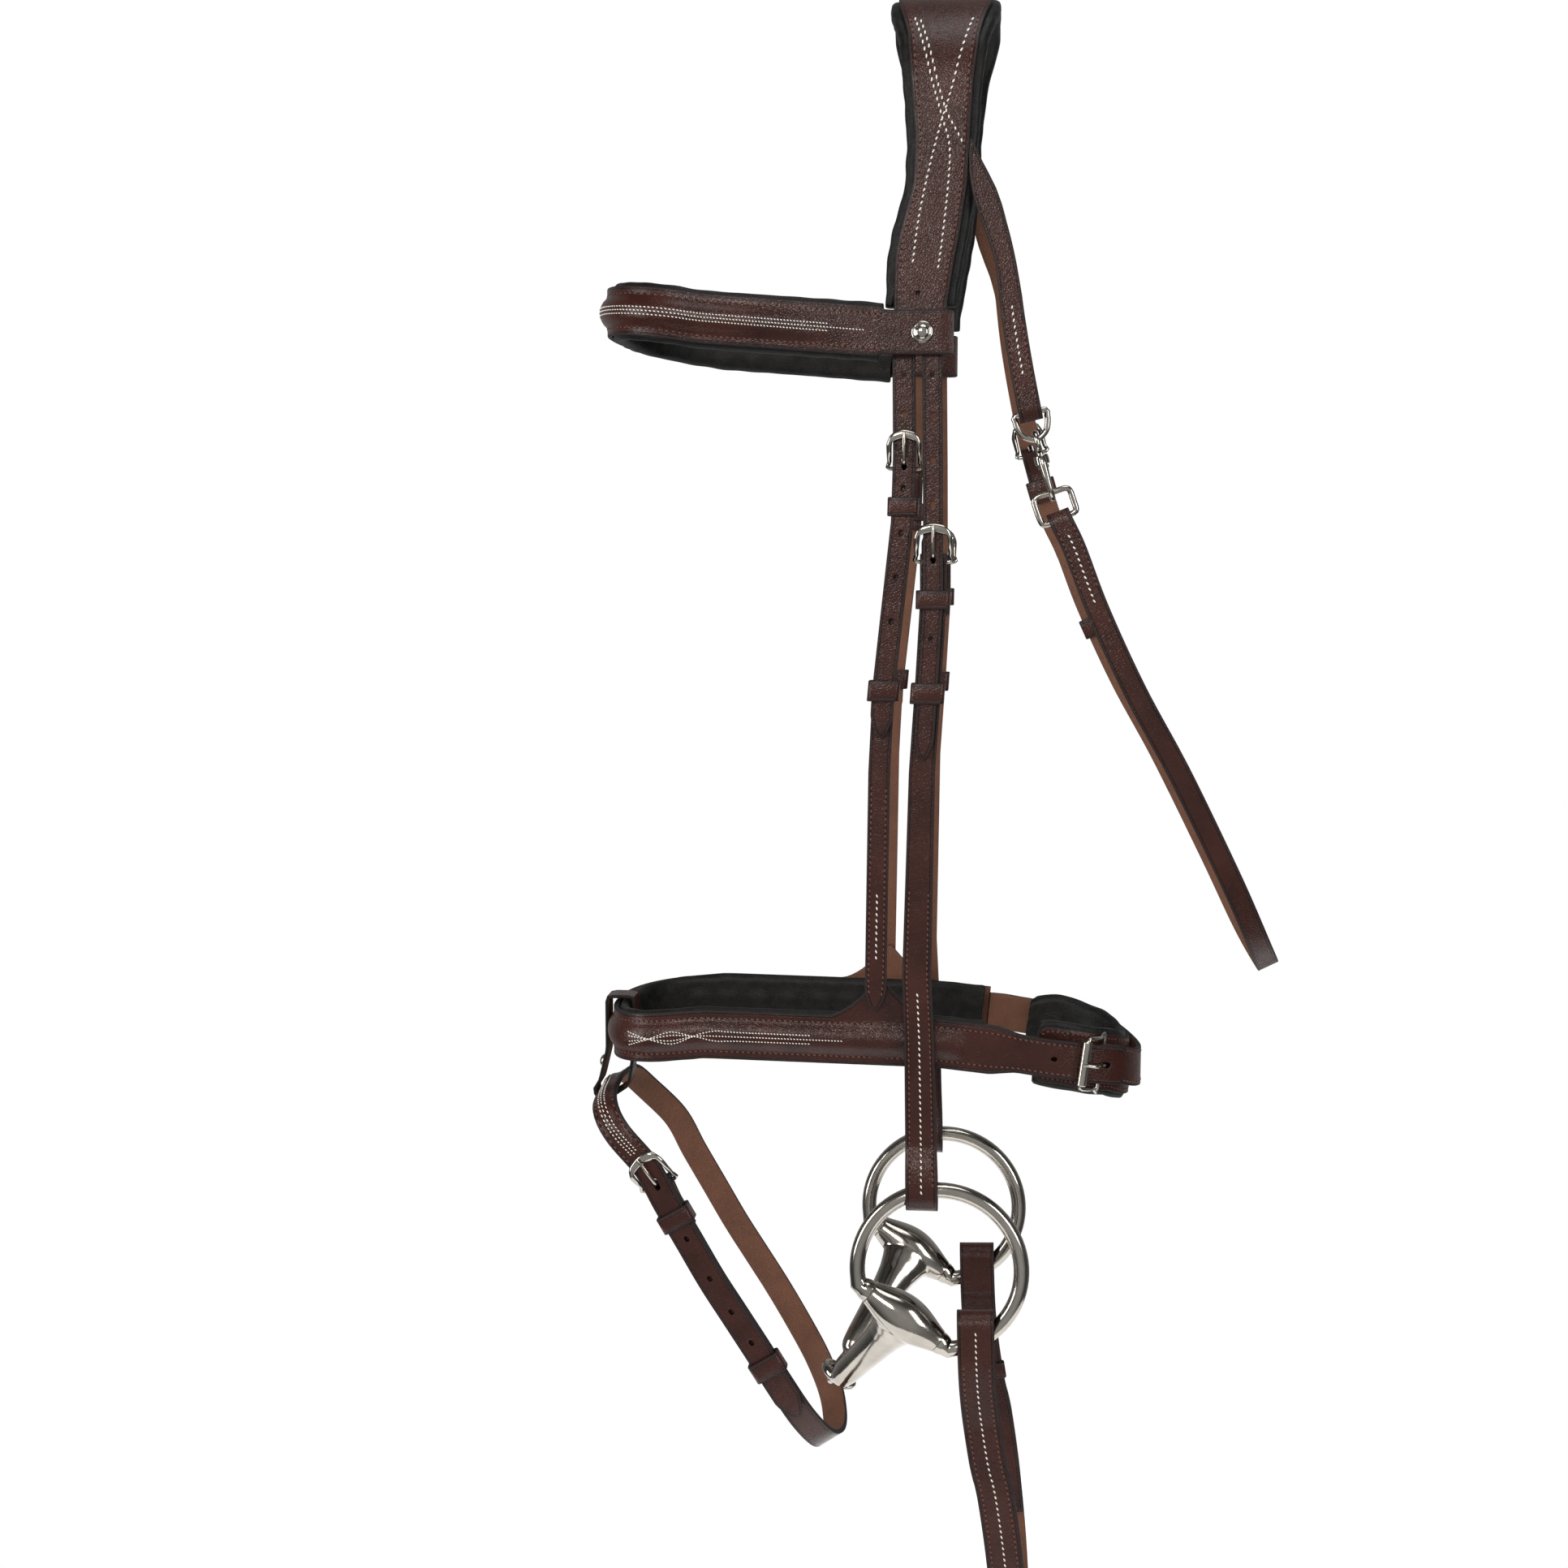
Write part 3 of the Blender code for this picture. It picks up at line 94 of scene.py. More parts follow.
# Half widths
SLIPHEAD_HALF = 5.2
BILLET_HALF = 4.5
CHEEK_HALF = 6.0
HANGER_HALF = 5.0
CHEEK_FOOT_HALF = 7.4
BROWBAND_HALF = 11.0
NOSEBAND_HALF = 11.5
CHIN_HALF = 9.0
FLASH_HALF = 6.5
THROAT_HALF = 5.2
REIN_HALF = 8.7

# Bit
RING_X, RING_Z = 2.0, -580.0
RING_RADIUS = 38.5
RING_WIRE = 3.8
RING_SOCKET = 0.4
RING_SLIMMER = 0.15
RING_Y = HEAD_HALF + 5.6
BARREL_FROM, BARREL_TO = 192.0, -83.0

# Stitches: how far apart they are, and how wide
BACKSTITCH = 2.6
FANCY_STITCH = 1.45
WHITE_STITCH = 2.8
BROWN_WIDTH = 0.72
PRICK_WIDTH = 1.15
WHITE_FINER = 0.72

# Holes: their radii, and how much longer than round they are
HOLE_RADIUS = 1.15
HOLE_LONGER = 0.7
TONGUE_RADIUS = 1.35
TONGUE_HOLE_LONGER = 3.4
TONGUE_SLOT_LONGER = 6.0

# How far straps are sewn back under themselves, and from the bar to the slot in their turn
STRAP_RETURN = 26.0
THIN_RETURN = 24.0
CHIN_RETURN = 20.0
TO_TURN = 5.6


class BridleLooks(bpy.types.PropertyGroup):
    """Colours and sizes of the bridle's finish."""
    leather: bpy.props.FloatVectorProperty(
        name="Leather", description="Colour of the grain side", subtype="COLOR", size=3,
        default=(0.043, 0.0108, 0.0068), min=0, max=1)
    flesh: bpy.props.FloatVectorProperty(
        name="Flesh side", description="Colour of the leather's rough inner side", subtype="COLOR", size=3,
        default=(0.105, 0.040, 0.019), min=0, max=1)
    edge: bpy.props.FloatVectorProperty(
        name="Edge paint", description="Colour of the painted edges", subtype="COLOR", size=3,
        default=(0.007, 0.006, 0.006), min=0, max=1)
    padding: bpy.props.FloatVectorProperty(
        name="Padding", description="Colour of the soft lining leather", subtype="COLOR", size=3,
        default=(0.0062, 0.0056, 0.0053), min=0, max=1)
    white_thread: bpy.props.FloatVectorProperty(
        name="White thread", description="Colour of the decorative stitching", subtype="COLOR", size=3,
        default=(0.86, 0.83, 0.76), min=0, max=1)
    brown_thread: bpy.props.FloatVectorProperty(
        name="Brown thread", description="Colour of the edge stitching", subtype="COLOR", size=3,
        default=(0.18, 0.052, 0.032), min=0, max=1)
    steel: bpy.props.FloatVectorProperty(
        name="Steel", description="Colour of the polished fittings", subtype="COLOR", size=3,
        default=(0.50, 0.465, 0.415), min=0, max=1)
    grain_size: bpy.props.FloatProperty(
        name="Grain size", description="Width of the leather's grain cells", subtype="DISTANCE", unit="LENGTH",
        default=0.0011, min=0.0002, max=0.003)
    edge_round: bpy.props.FloatProperty(
        name="Edge rounding", description="Rounding of the straps' cut edges", subtype="DISTANCE", unit="LENGTH",
        default=0.00055, min=0.0001, max=0.001)
    thread_width: bpy.props.FloatProperty(
        name="Thread width", description="Width of the decorative thread", subtype="DISTANCE", unit="LENGTH",
        default=0.00085, min=0.0003, max=0.0015)


def looks():
    return bpy.context.scene.bridle_looks


# ---------------------------------------------------------------- courses

def between(table, value):
    """Read values between the rows of a short table of (place, value, ...)."""
    places = [row[0] for row in table]
    made = [np.interp(value, places, [row[k] for row in table]) for k in range(1, len(table[0]))]
    return made[0] if len(made) == 1 else made


def smooth_line(points, step=3.0):
    """A close row of points on a smooth curve through the given ones."""
    points = [np.array(p, float) for p in points]
    ends = [points[0] * 2 - points[1], *points, points[-1] * 2 - points[-2]]
    line = []
    for a, b, c, d in zip(ends, ends[1:], ends[2:], ends[3:]):
        steps = max(1, round(np.linalg.norm(c - b) / step))
        for i in range(steps):
            u = i / steps
            line.append(0.5 * (2 * b + (c - a) * u + (2 * a - 5 * b + 4 * c - d) * u * u
                               + (3 * b - a - 3 * c + d) * u ** 3))
    line.append(points[-1])
    return line


def unit(rows):
    return rows / np.linalg.norm(rows, axis=-1, keepdims=True)


class Strand:
    """A line that straps follow: s runs along it, w across it and t outward."""

    def __init__(self, line, across, out, zero=0.0):
        line = np.array(line, float)
        run = np.concatenate([[0.0], np.cumsum(np.linalg.norm(np.diff(line, axis=0), axis=1))])
        self.length = run[-1]
        marks = np.arange(0.0, run[-1] + 1.0, 1.0)

        def read(places):
            return np.stack([np.interp(places, run, line[:, k]) for k in range(3)], 1)

        self.point = read(marks)
        along = unit(read(np.minimum(marks + 1.5, run[-1])) - read(np.maximum(marks - 1.5, 0.0)))
        sideways = np.array([across(p) for p in self.point], float)
        self.across = unit(sideways - along * np.sum(along * sideways, axis=1, keepdims=True))
        self.out = np.cross(along, self.across)
        if np.dot(self.out[0], out) < 0:
            self.out = -self.out
        self.marks = marks - zero

    def read(self, rows, s):
        return np.stack([np.interp(s, self.marks, rows[:, k]) for k in range(3)], -1)

    def place(self, s, w, t):
        """Points in millimetres at places given as arrays."""
        s, w, t = np.broadcast_arrays(np.asarray(s, float), w, t)
        return (self.read(self.point, s) + self.read(self.across, s) * w[..., None]
                + self.read(self.out, s) * t[..., None])

    def find(self, axis, value, low, high):
        """The distance between two others where the line passes a place on one axis."""
        start = self.read(self.point, low)[axis] > value
        for _ in range(30):
            middle = (low + high) / 2
            if (self.read(self.point, middle)[axis] > value) == start:
                low = middle
            else:
                high = middle
        return low

    def at_depth(self, depth):
        return self.find(2, -depth, 0, self.length)


class Course:
    """A strap's middle line on a strand, as a path of (s, t); u runs along the strap itself."""

    def __init__(self, strand, path, step=2.0, way=None):
        self.strand = strand
        rows = [np.array(path[0], float)]
        for one, two in zip(path, path[1:]):
            one, two = np.array(one, float), np.array(two, float)
            count = max(1, math.ceil(np.linalg.norm(two - one) / step))
            rows += [one + (two - one) * k / count for k in range(1, count + 1)]
        self.path = np.array(rows)
        steps = np.diff(self.path, axis=0)
        self.u = np.concatenate([[0.0], np.cumsum(np.linalg.norm(steps, axis=1))])
        self.length = self.u[-1]
        ways = unit(steps)
        ways = unit(np.concatenate([ways[:1], ways[:-1] + ways[1:], ways[-1:]]))
        ahead = self.path[-1, 0] + self.path[len(self.path) // 2, 0] > self.path[0, 0] * 2
        self.way = way or (1.0 if ahead else -1.0)
        self.normal = np.stack([-ways[:, 1], ways[:, 0]], 1) * self.way
        ahead = self.path[:, 0] * self.way
        turn = int(np.argmin(ahead))
        rising = np.concatenate([[True], ahead[turn + 1:] > np.maximum.accumulate(ahead[turn:])[:-1] + 1e-6])
        self.main_u, self.main_s = self.u[turn:][rising], self.path[turn:, 0][rising]

    def read(self, rows, u):
        return np.interp(u, self.u, rows)

    def s_at(self, u):
        return self.read(self.path[:, 0], u)

    def u_at(self, s):
        """The distance along the strap at a place s of its main run."""
        return np.interp(np.asarray(s) * self.way, self.main_s * self.way, self.main_u)

    def place(self, u, w, z):
        s = self.s_at(u) + self.read(self.normal[:, 0], u) * z
        t = self.read(self.path[:, 1], u) + self.read(self.normal[:, 1], u) * z
        return self.strand.place(s, w, t)


def arc(s, t, radius_s, radius_t, first, step, count):
    """Places on an arc about (s, t), by angles in degrees."""
    angles = [math.radians(first + step * k) for k in range(count)]
    return [(s + radius_s * math.cos(a), t + radius_t * math.sin(a)) for a in angles]


def round_bar(at_bar, way, lift, back, bar_t=BAR_T, reach=TURN, main_t=MAIN_T):
    """A strap's end: it comes back under itself, goes round the bar and runs on."""
    under, start = lift + main_t - LEATHER - GAP, at_bar + way * (reach + 7.0)
    return [(at_bar + way * back, under), (start, under),
            *arc(at_bar, lift + bar_t, -way * reach, reach, -90, 10, 19), (start, lift + main_t)]


# ---------------------------------------------------------------- finishes

def node(tree, kind, **values):
    made = tree.nodes.new(kind)
    for name, value in values.items():
        setattr(made, name, value)
    return made


def link(tree, source, target):
    tree.links.new(source, target)


def sums(tree, operation, one, two=None, three=None):
    """A Math node whose inputs are sockets or numbers."""
    made = tree.nodes.new("ShaderNodeMath")
    made.operation = operation
    for slot, value in zip(made.inputs, (one, two, three)):
        if value is None:
            continue
        if isinstance(value, (int, float)):
            slot.default_value = value
        else:
            link(tree, value, slot)
    return made.outputs[0]


def mixed(tree, share, one, two):
    """A colour mix of two sockets or colours."""
    made = tree.nodes.new("ShaderNodeMix")
    made.data_type = "RGBA"
    for slot, value in ((made.inputs[0], share), (made.inputs[6], one), (made.inputs[7], two)):
        if isinstance(value, bpy.types.NodeSocket):
            link(tree, value, slot)
        else:
            slot.default_value = value if slot is made.inputs[0] else (*value[:3], 1.0)
    return made.outputs[2]


def ramp(tree, value, low, high, to_low=0.0, to_high=1.0):
    made = tree.nodes.new("ShaderNodeMapRange")
    link(tree, value, made.inputs[0])
    for slot, number in zip(list(made.inputs)[1:5], (low, high, to_low, to_high)):
        slot.default_value = number
    return made.outputs[0]


def noise(tree, where, scale, detail=2.0, rough=0.5, output=0):
    made = tree.nodes.new("ShaderNodeTexNoise")
    made.inputs["Scale"].default_value = scale
    made.inputs["Detail"].default_value = detail
    made.inputs["Roughness"].default_value = rough
    link(tree, where, made.inputs["Vector"])
    return made.outputs[output]


def new_group(name, inputs, outputs):
    """An empty node group with named sockets; each is (name, kind, default)."""
    group = bpy.data.node_groups.new(name, "ShaderNodeTree")
    for label, kind, default in inputs:
        group.interface.new_socket(name=label, in_out="INPUT", socket_type=kind).default_value = default
    for label, kind in outputs:
        group.interface.new_socket(name=label, in_out="OUTPUT", socket_type=kind)
    return group, group.nodes.new("NodeGroupInput"), group.nodes.new("NodeGroupOutput")


def scaled(tree, vector, factor):
    """A vector times a number or a socket."""
    made = tree.nodes.new("ShaderNodeVectorMath")
    made.operation = "SCALE"
    link(tree, vector, made.inputs[0])
    if isinstance(factor, (int, float)):
        made.inputs["Scale"].default_value = factor
    else:
        link(tree, factor, made.inputs["Scale"])
    return made.outputs[0]


def grain_group():
    """Leather grain: a height of pores and creases, and slow changes of tone."""
    if "leather_grain" in bpy.data.node_groups:
        return bpy.data.node_groups["leather_grain"]
    group, start, end = new_group("leather_grain",
                                  [("Vector", "NodeSocketVector", (0, 0, 0)), ("Cells", "NodeSocketFloat", 1400.0)],
                                  [("Height", "NodeSocketFloat"), ("Tone", "NodeSocketFloat"),
                                   ("PolishAndSheen", "NodeSocketFloat")])
    where = scaled(group, start.outputs["Vector"], start.outputs["Cells"])
    wavy = node(group, "ShaderNodeVectorMath", operation="ADD")
    link(group, where, wavy.inputs[0])
    link(group, scaled(group, noise(group, where, 0.6, output=1), 0.9), wavy.inputs[1])
    cells = node(group, "ShaderNodeTexVoronoi", feature="DISTANCE_TO_EDGE")
    cells.inputs["Scale"].default_value = 1.0
    link(group, wavy.outputs[0], cells.inputs["Vector"])
    pores = cells.outputs["Distance"]
    valley = ramp(group, pores, 0.0, 0.28)
    fine = noise(group, where, 2.6, 3.0, 0.6)
    height = sums(group, "MULTIPLY_ADD", fine, 0.55, valley)
    waves = noise(group, scaled(group, start.outputs["Vector"], 95.0), 1.0, 2.0, 0.5)
    link(group, sums(group, "MULTIPLY_ADD", waves, 4.0, height), end.inputs["Height"])
    slow = noise(group, scaled(group, start.outputs["Vector"], 38.0), 1.0, 4.0, 0.6)
    link(group, ramp(group, slow, 0.3, 0.7), end.inputs["Tone"])
    # Glossy spots in patches on the raised grain: real polish in the roughness, and a painted highlight speckle where
    # grain_side colours them lighter.
    patches = noise(group, scaled(group, start.outputs["Vector"], 120.0), 1.0, 2.0, 0.5)
    link(group, sums(group, "MULTIPLY", ramp(group, patches, 0.35, 0.7), valley), end.inputs["PolishAndSheen"])
    return group


def finish(name):
    """A material that is made once, by a function of its tree, its shader and the object's coordinates."""
    def once(wire):
        def give():
            if name not in bpy.data.materials:
                made = bpy.data.materials.new(name)
                made.use_nodes = True
                tree = made.node_tree
                wire(tree, tree.nodes["Principled BSDF"], node(tree, "ShaderNodeTexCoord").outputs["Object"])
            return bpy.data.materials[name]
        give.__doc__ = wire.__doc__
        return give
    return once


def grain_at(tree, where, finer=1.0):
    grain = node(tree, "ShaderNodeGroup", node_tree=grain_group())
    grain.inputs["Cells"].default_value = finer / looks().grain_size
    link(tree, where, grain.inputs["Vector"])
    return grain.outputs


def dress(tree, shader, sockets, height=None, distance=0.0):
    """Give a shader its sources and plain values, by socket name, and a bump of so many metres."""
    for name, value in sockets.items():
        if isinstance(value, bpy.types.NodeSocket):
            link(tree, value, shader.inputs[name])
        else:
            shader.inputs[name].default_value = value
    if height is not None:
        bump = node(tree, "ShaderNodeBump")
        bump.inputs["Distance"].default_value = distance
        bump.inputs["Strength"].default_value = 1.0
        link(tree, height, bump.inputs["Height"])
        link(tree, bump.outputs[0], shader.inputs["Normal"])


def colour(values, factor):
    return tuple(min(1.0, c * factor) for c in values)


def tones(tree, share, base, dark, light):
    """A colour between a darker and a lighter tone of one base colour."""
    return mixed(tree, share, colour(base, dark), colour(base, light))


@finish("brown_leather")
def grain_side(tree, shader, where):
    """The polished grain side: dark brown with a crease pressed along each edge."""
    grain = grain_at(tree, where)
    edges = node(tree, "ShaderNodeAttribute", attribute_name="from_edge").outputs["Vector"]
    parts = node(tree, "ShaderNodeSeparateXYZ")
    link(tree, edges, parts.inputs[0])
    near = sums(tree, "MINIMUM", parts.outputs[0], parts.outputs[1])
    off_crease = sums(tree, "ABSOLUTE", sums(tree, "SUBTRACT", near, CREASE_IN))
    crease = ramp(tree, off_crease, 0.10, 0.32, 1.0, 0.0)
    crease = sums(tree, "MULTIPLY", crease, parts.outputs[2])
    dark_rim = ramp(tree, near, 0.5, 1.1, 1.0, 0.0)
    tone = tones(tree, grain["Tone"], looks().leather, 0.5, 1.1)
    # Painted highlight: the glossy spots are coloured up to 1.5 times lighter, a painted speckle of sheen; their lower
    # roughness below is real polish.
    tone = mixed(tree, sums(tree, "MULTIPLY", grain["PolishAndSheen"], 0.25), tone, colour(looks().leather, 1.5))
    shade = sums(tree, "MAXIMUM", crease, sums(tree, "MULTIPLY", dark_rim, 0.8))
    rough = sums(tree, "MULTIPLY_ADD", grain["PolishAndSheen"], -0.12, 0.28)
    dress(tree, shader, {"Base Color": mixed(tree, sums(tree, "MULTIPLY", shade, 0.9), tone, looks().edge),
                         "Roughness": sums(tree, "MAXIMUM", rough, sums(tree, "MULTIPLY", dark_rim, 0.6)),
                         "Coat Weight": ramp(tree, grain["Tone"], 0.0, 1.0, 0.0, 0.12),
                         "Coat Roughness": 0.2, "Specular IOR Level": 0.36},
          sums(tree, "MULTIPLY_ADD", crease, -4.0, grain["Height"]), 0.000062)


@finish("edge_paint")
def edge_paint(tree, shader, where):
    """Black paint on the cut edges, a little worn."""
    worn = ramp(tree, noise(tree, where, 160.0, 4.0), 0.35, 0.75)
    dress(tree, shader, {"Base Color": tones(tree, worn, looks().edge, 0.8, 1.9),
                         "Roughness": ramp(tree, noise(tree, where, 700.0), 0.0, 1.0, 0.45, 0.62),
                         "Specular IOR Level": 0.25}, noise(tree, where, 900.0, 3.0), 0.0001)


@finish("flesh_side")
def flesh_side(tree, shader, where):
    """The undyed inner side: tan brown, matt and fibrous."""
    fibres = noise(tree, where, 1500.0, 5.0, 0.7)
    blotch = noise(tree, where, 90.0, 4.0, 0.6)
    tone = tones(tree, ramp(tree, blotch, 0.3, 0.7), looks().flesh, 0.7, 1.25)
    dress(tree, shader, {"Base Color": mixed(tree, ramp(tree, fibres, 0.35, 0.75), tone, colour(looks().flesh, 1.7)),
                         "Roughness": ramp(tree, fibres, 0.0, 1.0, 0.6, 0.85)}, fibres, 0.00022)


@finish("black_padding")
def padding(tree, shader, where):
    """Soft black lining leather with fine wrinkles."""
    grain = grain_at(tree, where, 0.8)
    wrinkles = noise(tree, where, 210.0, 5.0, 0.6)
    dress(tree, shader, {"Base Color": tones(tree, ramp(tree, wrinkles, 0.35, 0.7), looks().padding, 0.7, 1.8),
                         "Roughness": ramp(tree, wrinkles, 0.2, 0.8, 0.38, 0.54), "Specular IOR Level": 0.25},
          sums(tree, "MULTIPLY_ADD", wrinkles, 3.0, grain["Height"]), 0.00005)


def thread(tree, shader, where, base, shine):
    """Waxed thread, with the fine unevenness of its twist."""
    twist = noise(tree, where, 2600.0)
    dress(tree, shader, {"Base Color": tones(tree, ramp(tree, twist, 0.3, 0.7), base, 0.72, 1.12),
                         "Roughness": ramp(tree, twist, 0.0, 1.0, shine, shine + 0.2)}, twist, 0.00012)


@finish("white_thread")
def white_thread(*parts):
    thread(*parts, looks().white_thread, 0.45)


@finish("brown_thread")
def brown_thread(*parts):
    thread(*parts, looks().brown_thread, 0.4)


@finish("polished_steel")
def steel(tree, shader, where):
    """Polished stainless steel with faint scratches and a little dulling."""
    dull = ramp(tree, noise(tree, where, 70.0, 4.0), 0.35, 0.75)
    dress(tree, shader, {"Base Color": tones(tree, dull, looks().steel, 0.86, 1.12),
                         "Roughness": sums(tree, "MULTIPLY_ADD", dull, 0.10, 0.11), "Metallic": 1.0},
          noise(tree, where, 1900.0, 3.0), 0.000012)


@finish("pale_floor")
def floor_paint(tree, shader, where):
    """Pale floor that the camera sees as white and that keeps the object's shadow."""
    speck = ramp(tree, noise(tree, where, 400.0, 3.0), 0.3, 0.7)
    rays = node(tree, "ShaderNodeLightPath").outputs
    seen = sums(tree, "MAXIMUM", rays["Is Camera Ray"],
                sums(tree, "MAXIMUM", rays["Is Glossy Ray"], rays["Is Transmission Ray"]))
    dress(tree, shader, {"Base Color": mixed(tree, speck, (0.80, 0.80, 0.80), (0.84, 0.84, 0.84)),
                         "Roughness": 0.7, "Emission Color": (1.0, 1.0, 1.0, 1.0),
                         "Emission Strength": sums(tree, "MULTIPLY", seen, 0.55)})


# ---------------------------------------------------------------- making pieces

def deselect():
    bpy.ops.object.select_all(action="DESELECT")


def select_only(*pieces):
    deselect()
    for piece in pieces:
        piece.select_set(True)
    bpy.context.view_layer.objects.active = pieces[0]


def apply_modifier(piece, kind, **values):
    select_only(piece)
    made = piece.modifiers.new(kind.lower(), kind)
    for name, value in values.items():
        setattr(made, name, value)
    bpy.ops.object.modifier_apply(modifier=made.name)


def mesh_points(piece):
    rows = np.empty(len(piece.data.vertices) * 3)
    piece.data.vertices.foreach_get("co", rows)
    return rows.reshape(-1, 3)


def set_points(piece, rows):
    piece.data.vertices.foreach_set("co", np.ascontiguousarray(rows, float).ravel())
    piece.data.update()


def outward(piece, smooth=50.0):
    """Turn the faces out and shade the piece smooth except at sharp edges."""
    select_only(piece)
    bpy.ops.object.mode_set(mode="EDIT")
    bpy.ops.mesh.select_all(action="SELECT")
    bpy.ops.mesh.normals_make_consistent(inside=False)
    bpy.ops.object.mode_set(mode="OBJECT")
    bpy.ops.object.shade_smooth_by_angle(angle=math.radians(smooth))


def wear(piece, *materials):
    piece.data.materials.clear()
    for made in materials:
        piece.data.materials.append(made)


def settle(piece, body, *nodes, slot="leather"):
    """Tie a finished piece to the body that it moves with and to the solids that it stands for."""
    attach(piece, body)
    if nodes:
        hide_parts(*nodes)
    return piece


def new_piece(name, data):
    piece = bpy.data.objects.new(name, data)
    bpy.context.scene.collection.objects.link(piece)
    return piece


def mesh_piece(name, rows, faces, material, smooth=80.0):
    """A piece made straight from its points, in metres, and its faces."""
    mesh = bpy.data.meshes.new(name)
    mesh.from_pydata(rows.tolist(), [], faces)
    piece = new_piece(name, mesh)
    wear(piece, material)
    outward(piece, smooth)
    return piece


def swell(w, half):
    """How the padding under a strap rises from its sides, 0, to its middle, 1."""
    return np.clip(1.0 - (w / (0.6 * half)) ** 2, 0, 1) ** 0.8


def lift_of(ridge, half):
    """The height of a strap's padding at (s, w), as a function for its stitches."""
    return lambda s, w: float(swell(w, half) * ridge(s))


def paint(piece, side_of):
    """Dress leather: side_of(face) is 0 on the grain side, 1 on a painted edge and 2 on the flesh side."""
    wear(piece, grain_side(), edge_paint(), flesh_side())
    piece.data.update()
    piece.data.polygons.foreach_set("material_index", [side_of(face) for face in piece.data.polygons])


def flat_side(face):
    return 0 if face.normal.z > 0.6 else 2 if face.normal.z < -0.6 else 1


def flat_strap(name, course, edge, columns=6, ridge=None, holes=(), thick=LEATHER, creased=True):
    """Cut a strap flat, punch its holes, round its edges, raise its padding and lay it.

    edge(s) gives its two sides, ridge(s) the height of its padding, and each hole is (u, w, length, radius).
    """
    deselect()
    rows = max(3, round(course.length / 2.5))
    bpy.ops.mesh.primitive_grid_add(x_subdivisions=rows, y_subdivisions=columns, size=1)
    piece = bpy.context.object
    piece.name = name
    flat = mesh_points(piece)
    u = (flat[:, 0] + 0.5) * course.length
    low, high = edge(course.s_at(u))
    set_points(piece, np.stack([u, low + (flat[:, 1] + 0.5) * (high - low), np.zeros(len(u))], 1))
    apply_modifier(piece, "SOLIDIFY", thickness=thick, offset=0.0)
    if holes:
        punch(piece, holes)
    apply_modifier(piece, "BEVEL", width=looks().edge_round / MM, segments=2, limit_method="ANGLE",
                   angle_limit=math.radians(50), use_clamp_overlap=True)
    paint(piece, flat_side)
    flat = mesh_points(piece)
    low, high = edge(course.s_at(flat[:, 0]))
    if ridge:
        rise = swell(flat[:, 1] - (low + high) / 2, (high - low) / 2) * ridge(course.s_at(flat[:, 0]))
        flat[:, 2] += np.where(flat[:, 2] > 0, rise, 0.0)
    mark_edges(piece, flat[:, 1] - low, high - flat[:, 1], creased)
    set_points(piece, course.place(*flat.T) * MM)
    outward(piece)
    return piece


def mark_edges(piece, one, two, creased=True):
    """Keep each point's distance from both edges, in millimetres, for the pressed creases."""
    marks = np.stack([one, two, np.full(len(one), 1.0 if creased else 0.0)], 1)
    attribute = piece.data.attributes.new("from_edge", "FLOAT_VECTOR", "POINT")
    attribute.data.foreach_set("vector", marks.ravel())


def punch(piece, holes):
    """Punch round or long holes through a flat strap."""
    deselect()
    cutters = []
    for u, w, length, radius in holes:
        bpy.ops.mesh.primitive_cylinder_add(vertices=16, radius=radius, depth=12.0, location=(u, w, 0))
        cutter = bpy.context.object
        rows = mesh_points(cutter)
        rows[:, 0] += np.where(rows[:, 0] > 1e-6, length / 2, -length / 2)
        set_points(cutter, rows)
        cutters.append(cutter)
    for cutter in cutters:
        cutter.select_set(True)
    bpy.ops.object.join()
    cutter = bpy.context.object
    bpy.ops.object.transform_apply(location=True)
    cut_away(piece, cutter)


def cut_away(piece, cutter):
    apply_modifier(piece, "BOOLEAN", operation="DIFFERENCE", object=cutter, solver="EXACT")
    bpy.data.objects.remove(cutter, do_unlink=True)


def stitch_shape(length, width, height):
    """One stitch, as the points and faces of a small rounded bar."""
    deselect()
    bpy.ops.mesh.primitive_uv_sphere_add(segments=6, ring_count=4, radius=0.5)
    pattern = bpy.context.object
    rows = mesh_points(pattern)[:, [2, 0, 1]] * (length, width, height)
    faces = [list(face.vertices) for face in pattern.data.polygons]
    bpy.data.objects.remove(pattern, do_unlink=True)
    return rows, faces


def stitches(name, course, lines, pitch, width, material, depth=0.35, slant=0.36, lift=None, share=0.68):
    """Copies of one stitch along lines of (s, w), laid on a strap's outer face.

    lift(s, w) is the height of the padding under them, and prick holes stand between brown stitches.
    """
    shape, faces = stitch_shape(pitch * share, width, width * 0.8)
    points, all_faces = [], []
    for number, line in enumerate(lines):
        line = np.array(line, float)
        u = course.u_at(line[:, 0])
        run = np.concatenate([[0.0], np.cumsum(np.hypot(np.diff(u), np.diff(line[:, 1])))])
        count = max(1, int(run[-1] / pitch))
        marks = (np.arange(count) + 0.3 + 0.4 * (number % 2)) * run[-1] / count
        at_u, at_w = np.interp(marks, run, u), np.interp(marks, run, line[:, 1])
        way = np.arctan2(np.interp(marks + 0.5, run, line[:, 1]) - np.interp(marks - 0.5, run, line[:, 1]),
                         np.interp(marks + 0.5, run, u) - np.interp(marks - 0.5, run, u)) + slant
        for here_u, here_w, turn in zip(at_u, at_w, way):
            c, s = math.cos(turn), math.sin(turn)
            rows = np.stack([here_u + shape[:, 0] * c - shape[:, 1] * s, here_w + shape[:, 0] * s + shape[:, 1] * c,
                             shape[:, 2] + LEATHER / 2 + depth * width * 0.2], 1)
            if lift:
                rows[:, 2] += lift(course.s_at(here_u), here_w)
            all_faces += [[len(points) * len(shape) + k for k in face] for face in faces]
            points.append(rows)
    return mesh_piece(name, course.place(*np.concatenate(points).T) * MM, all_faces, material)


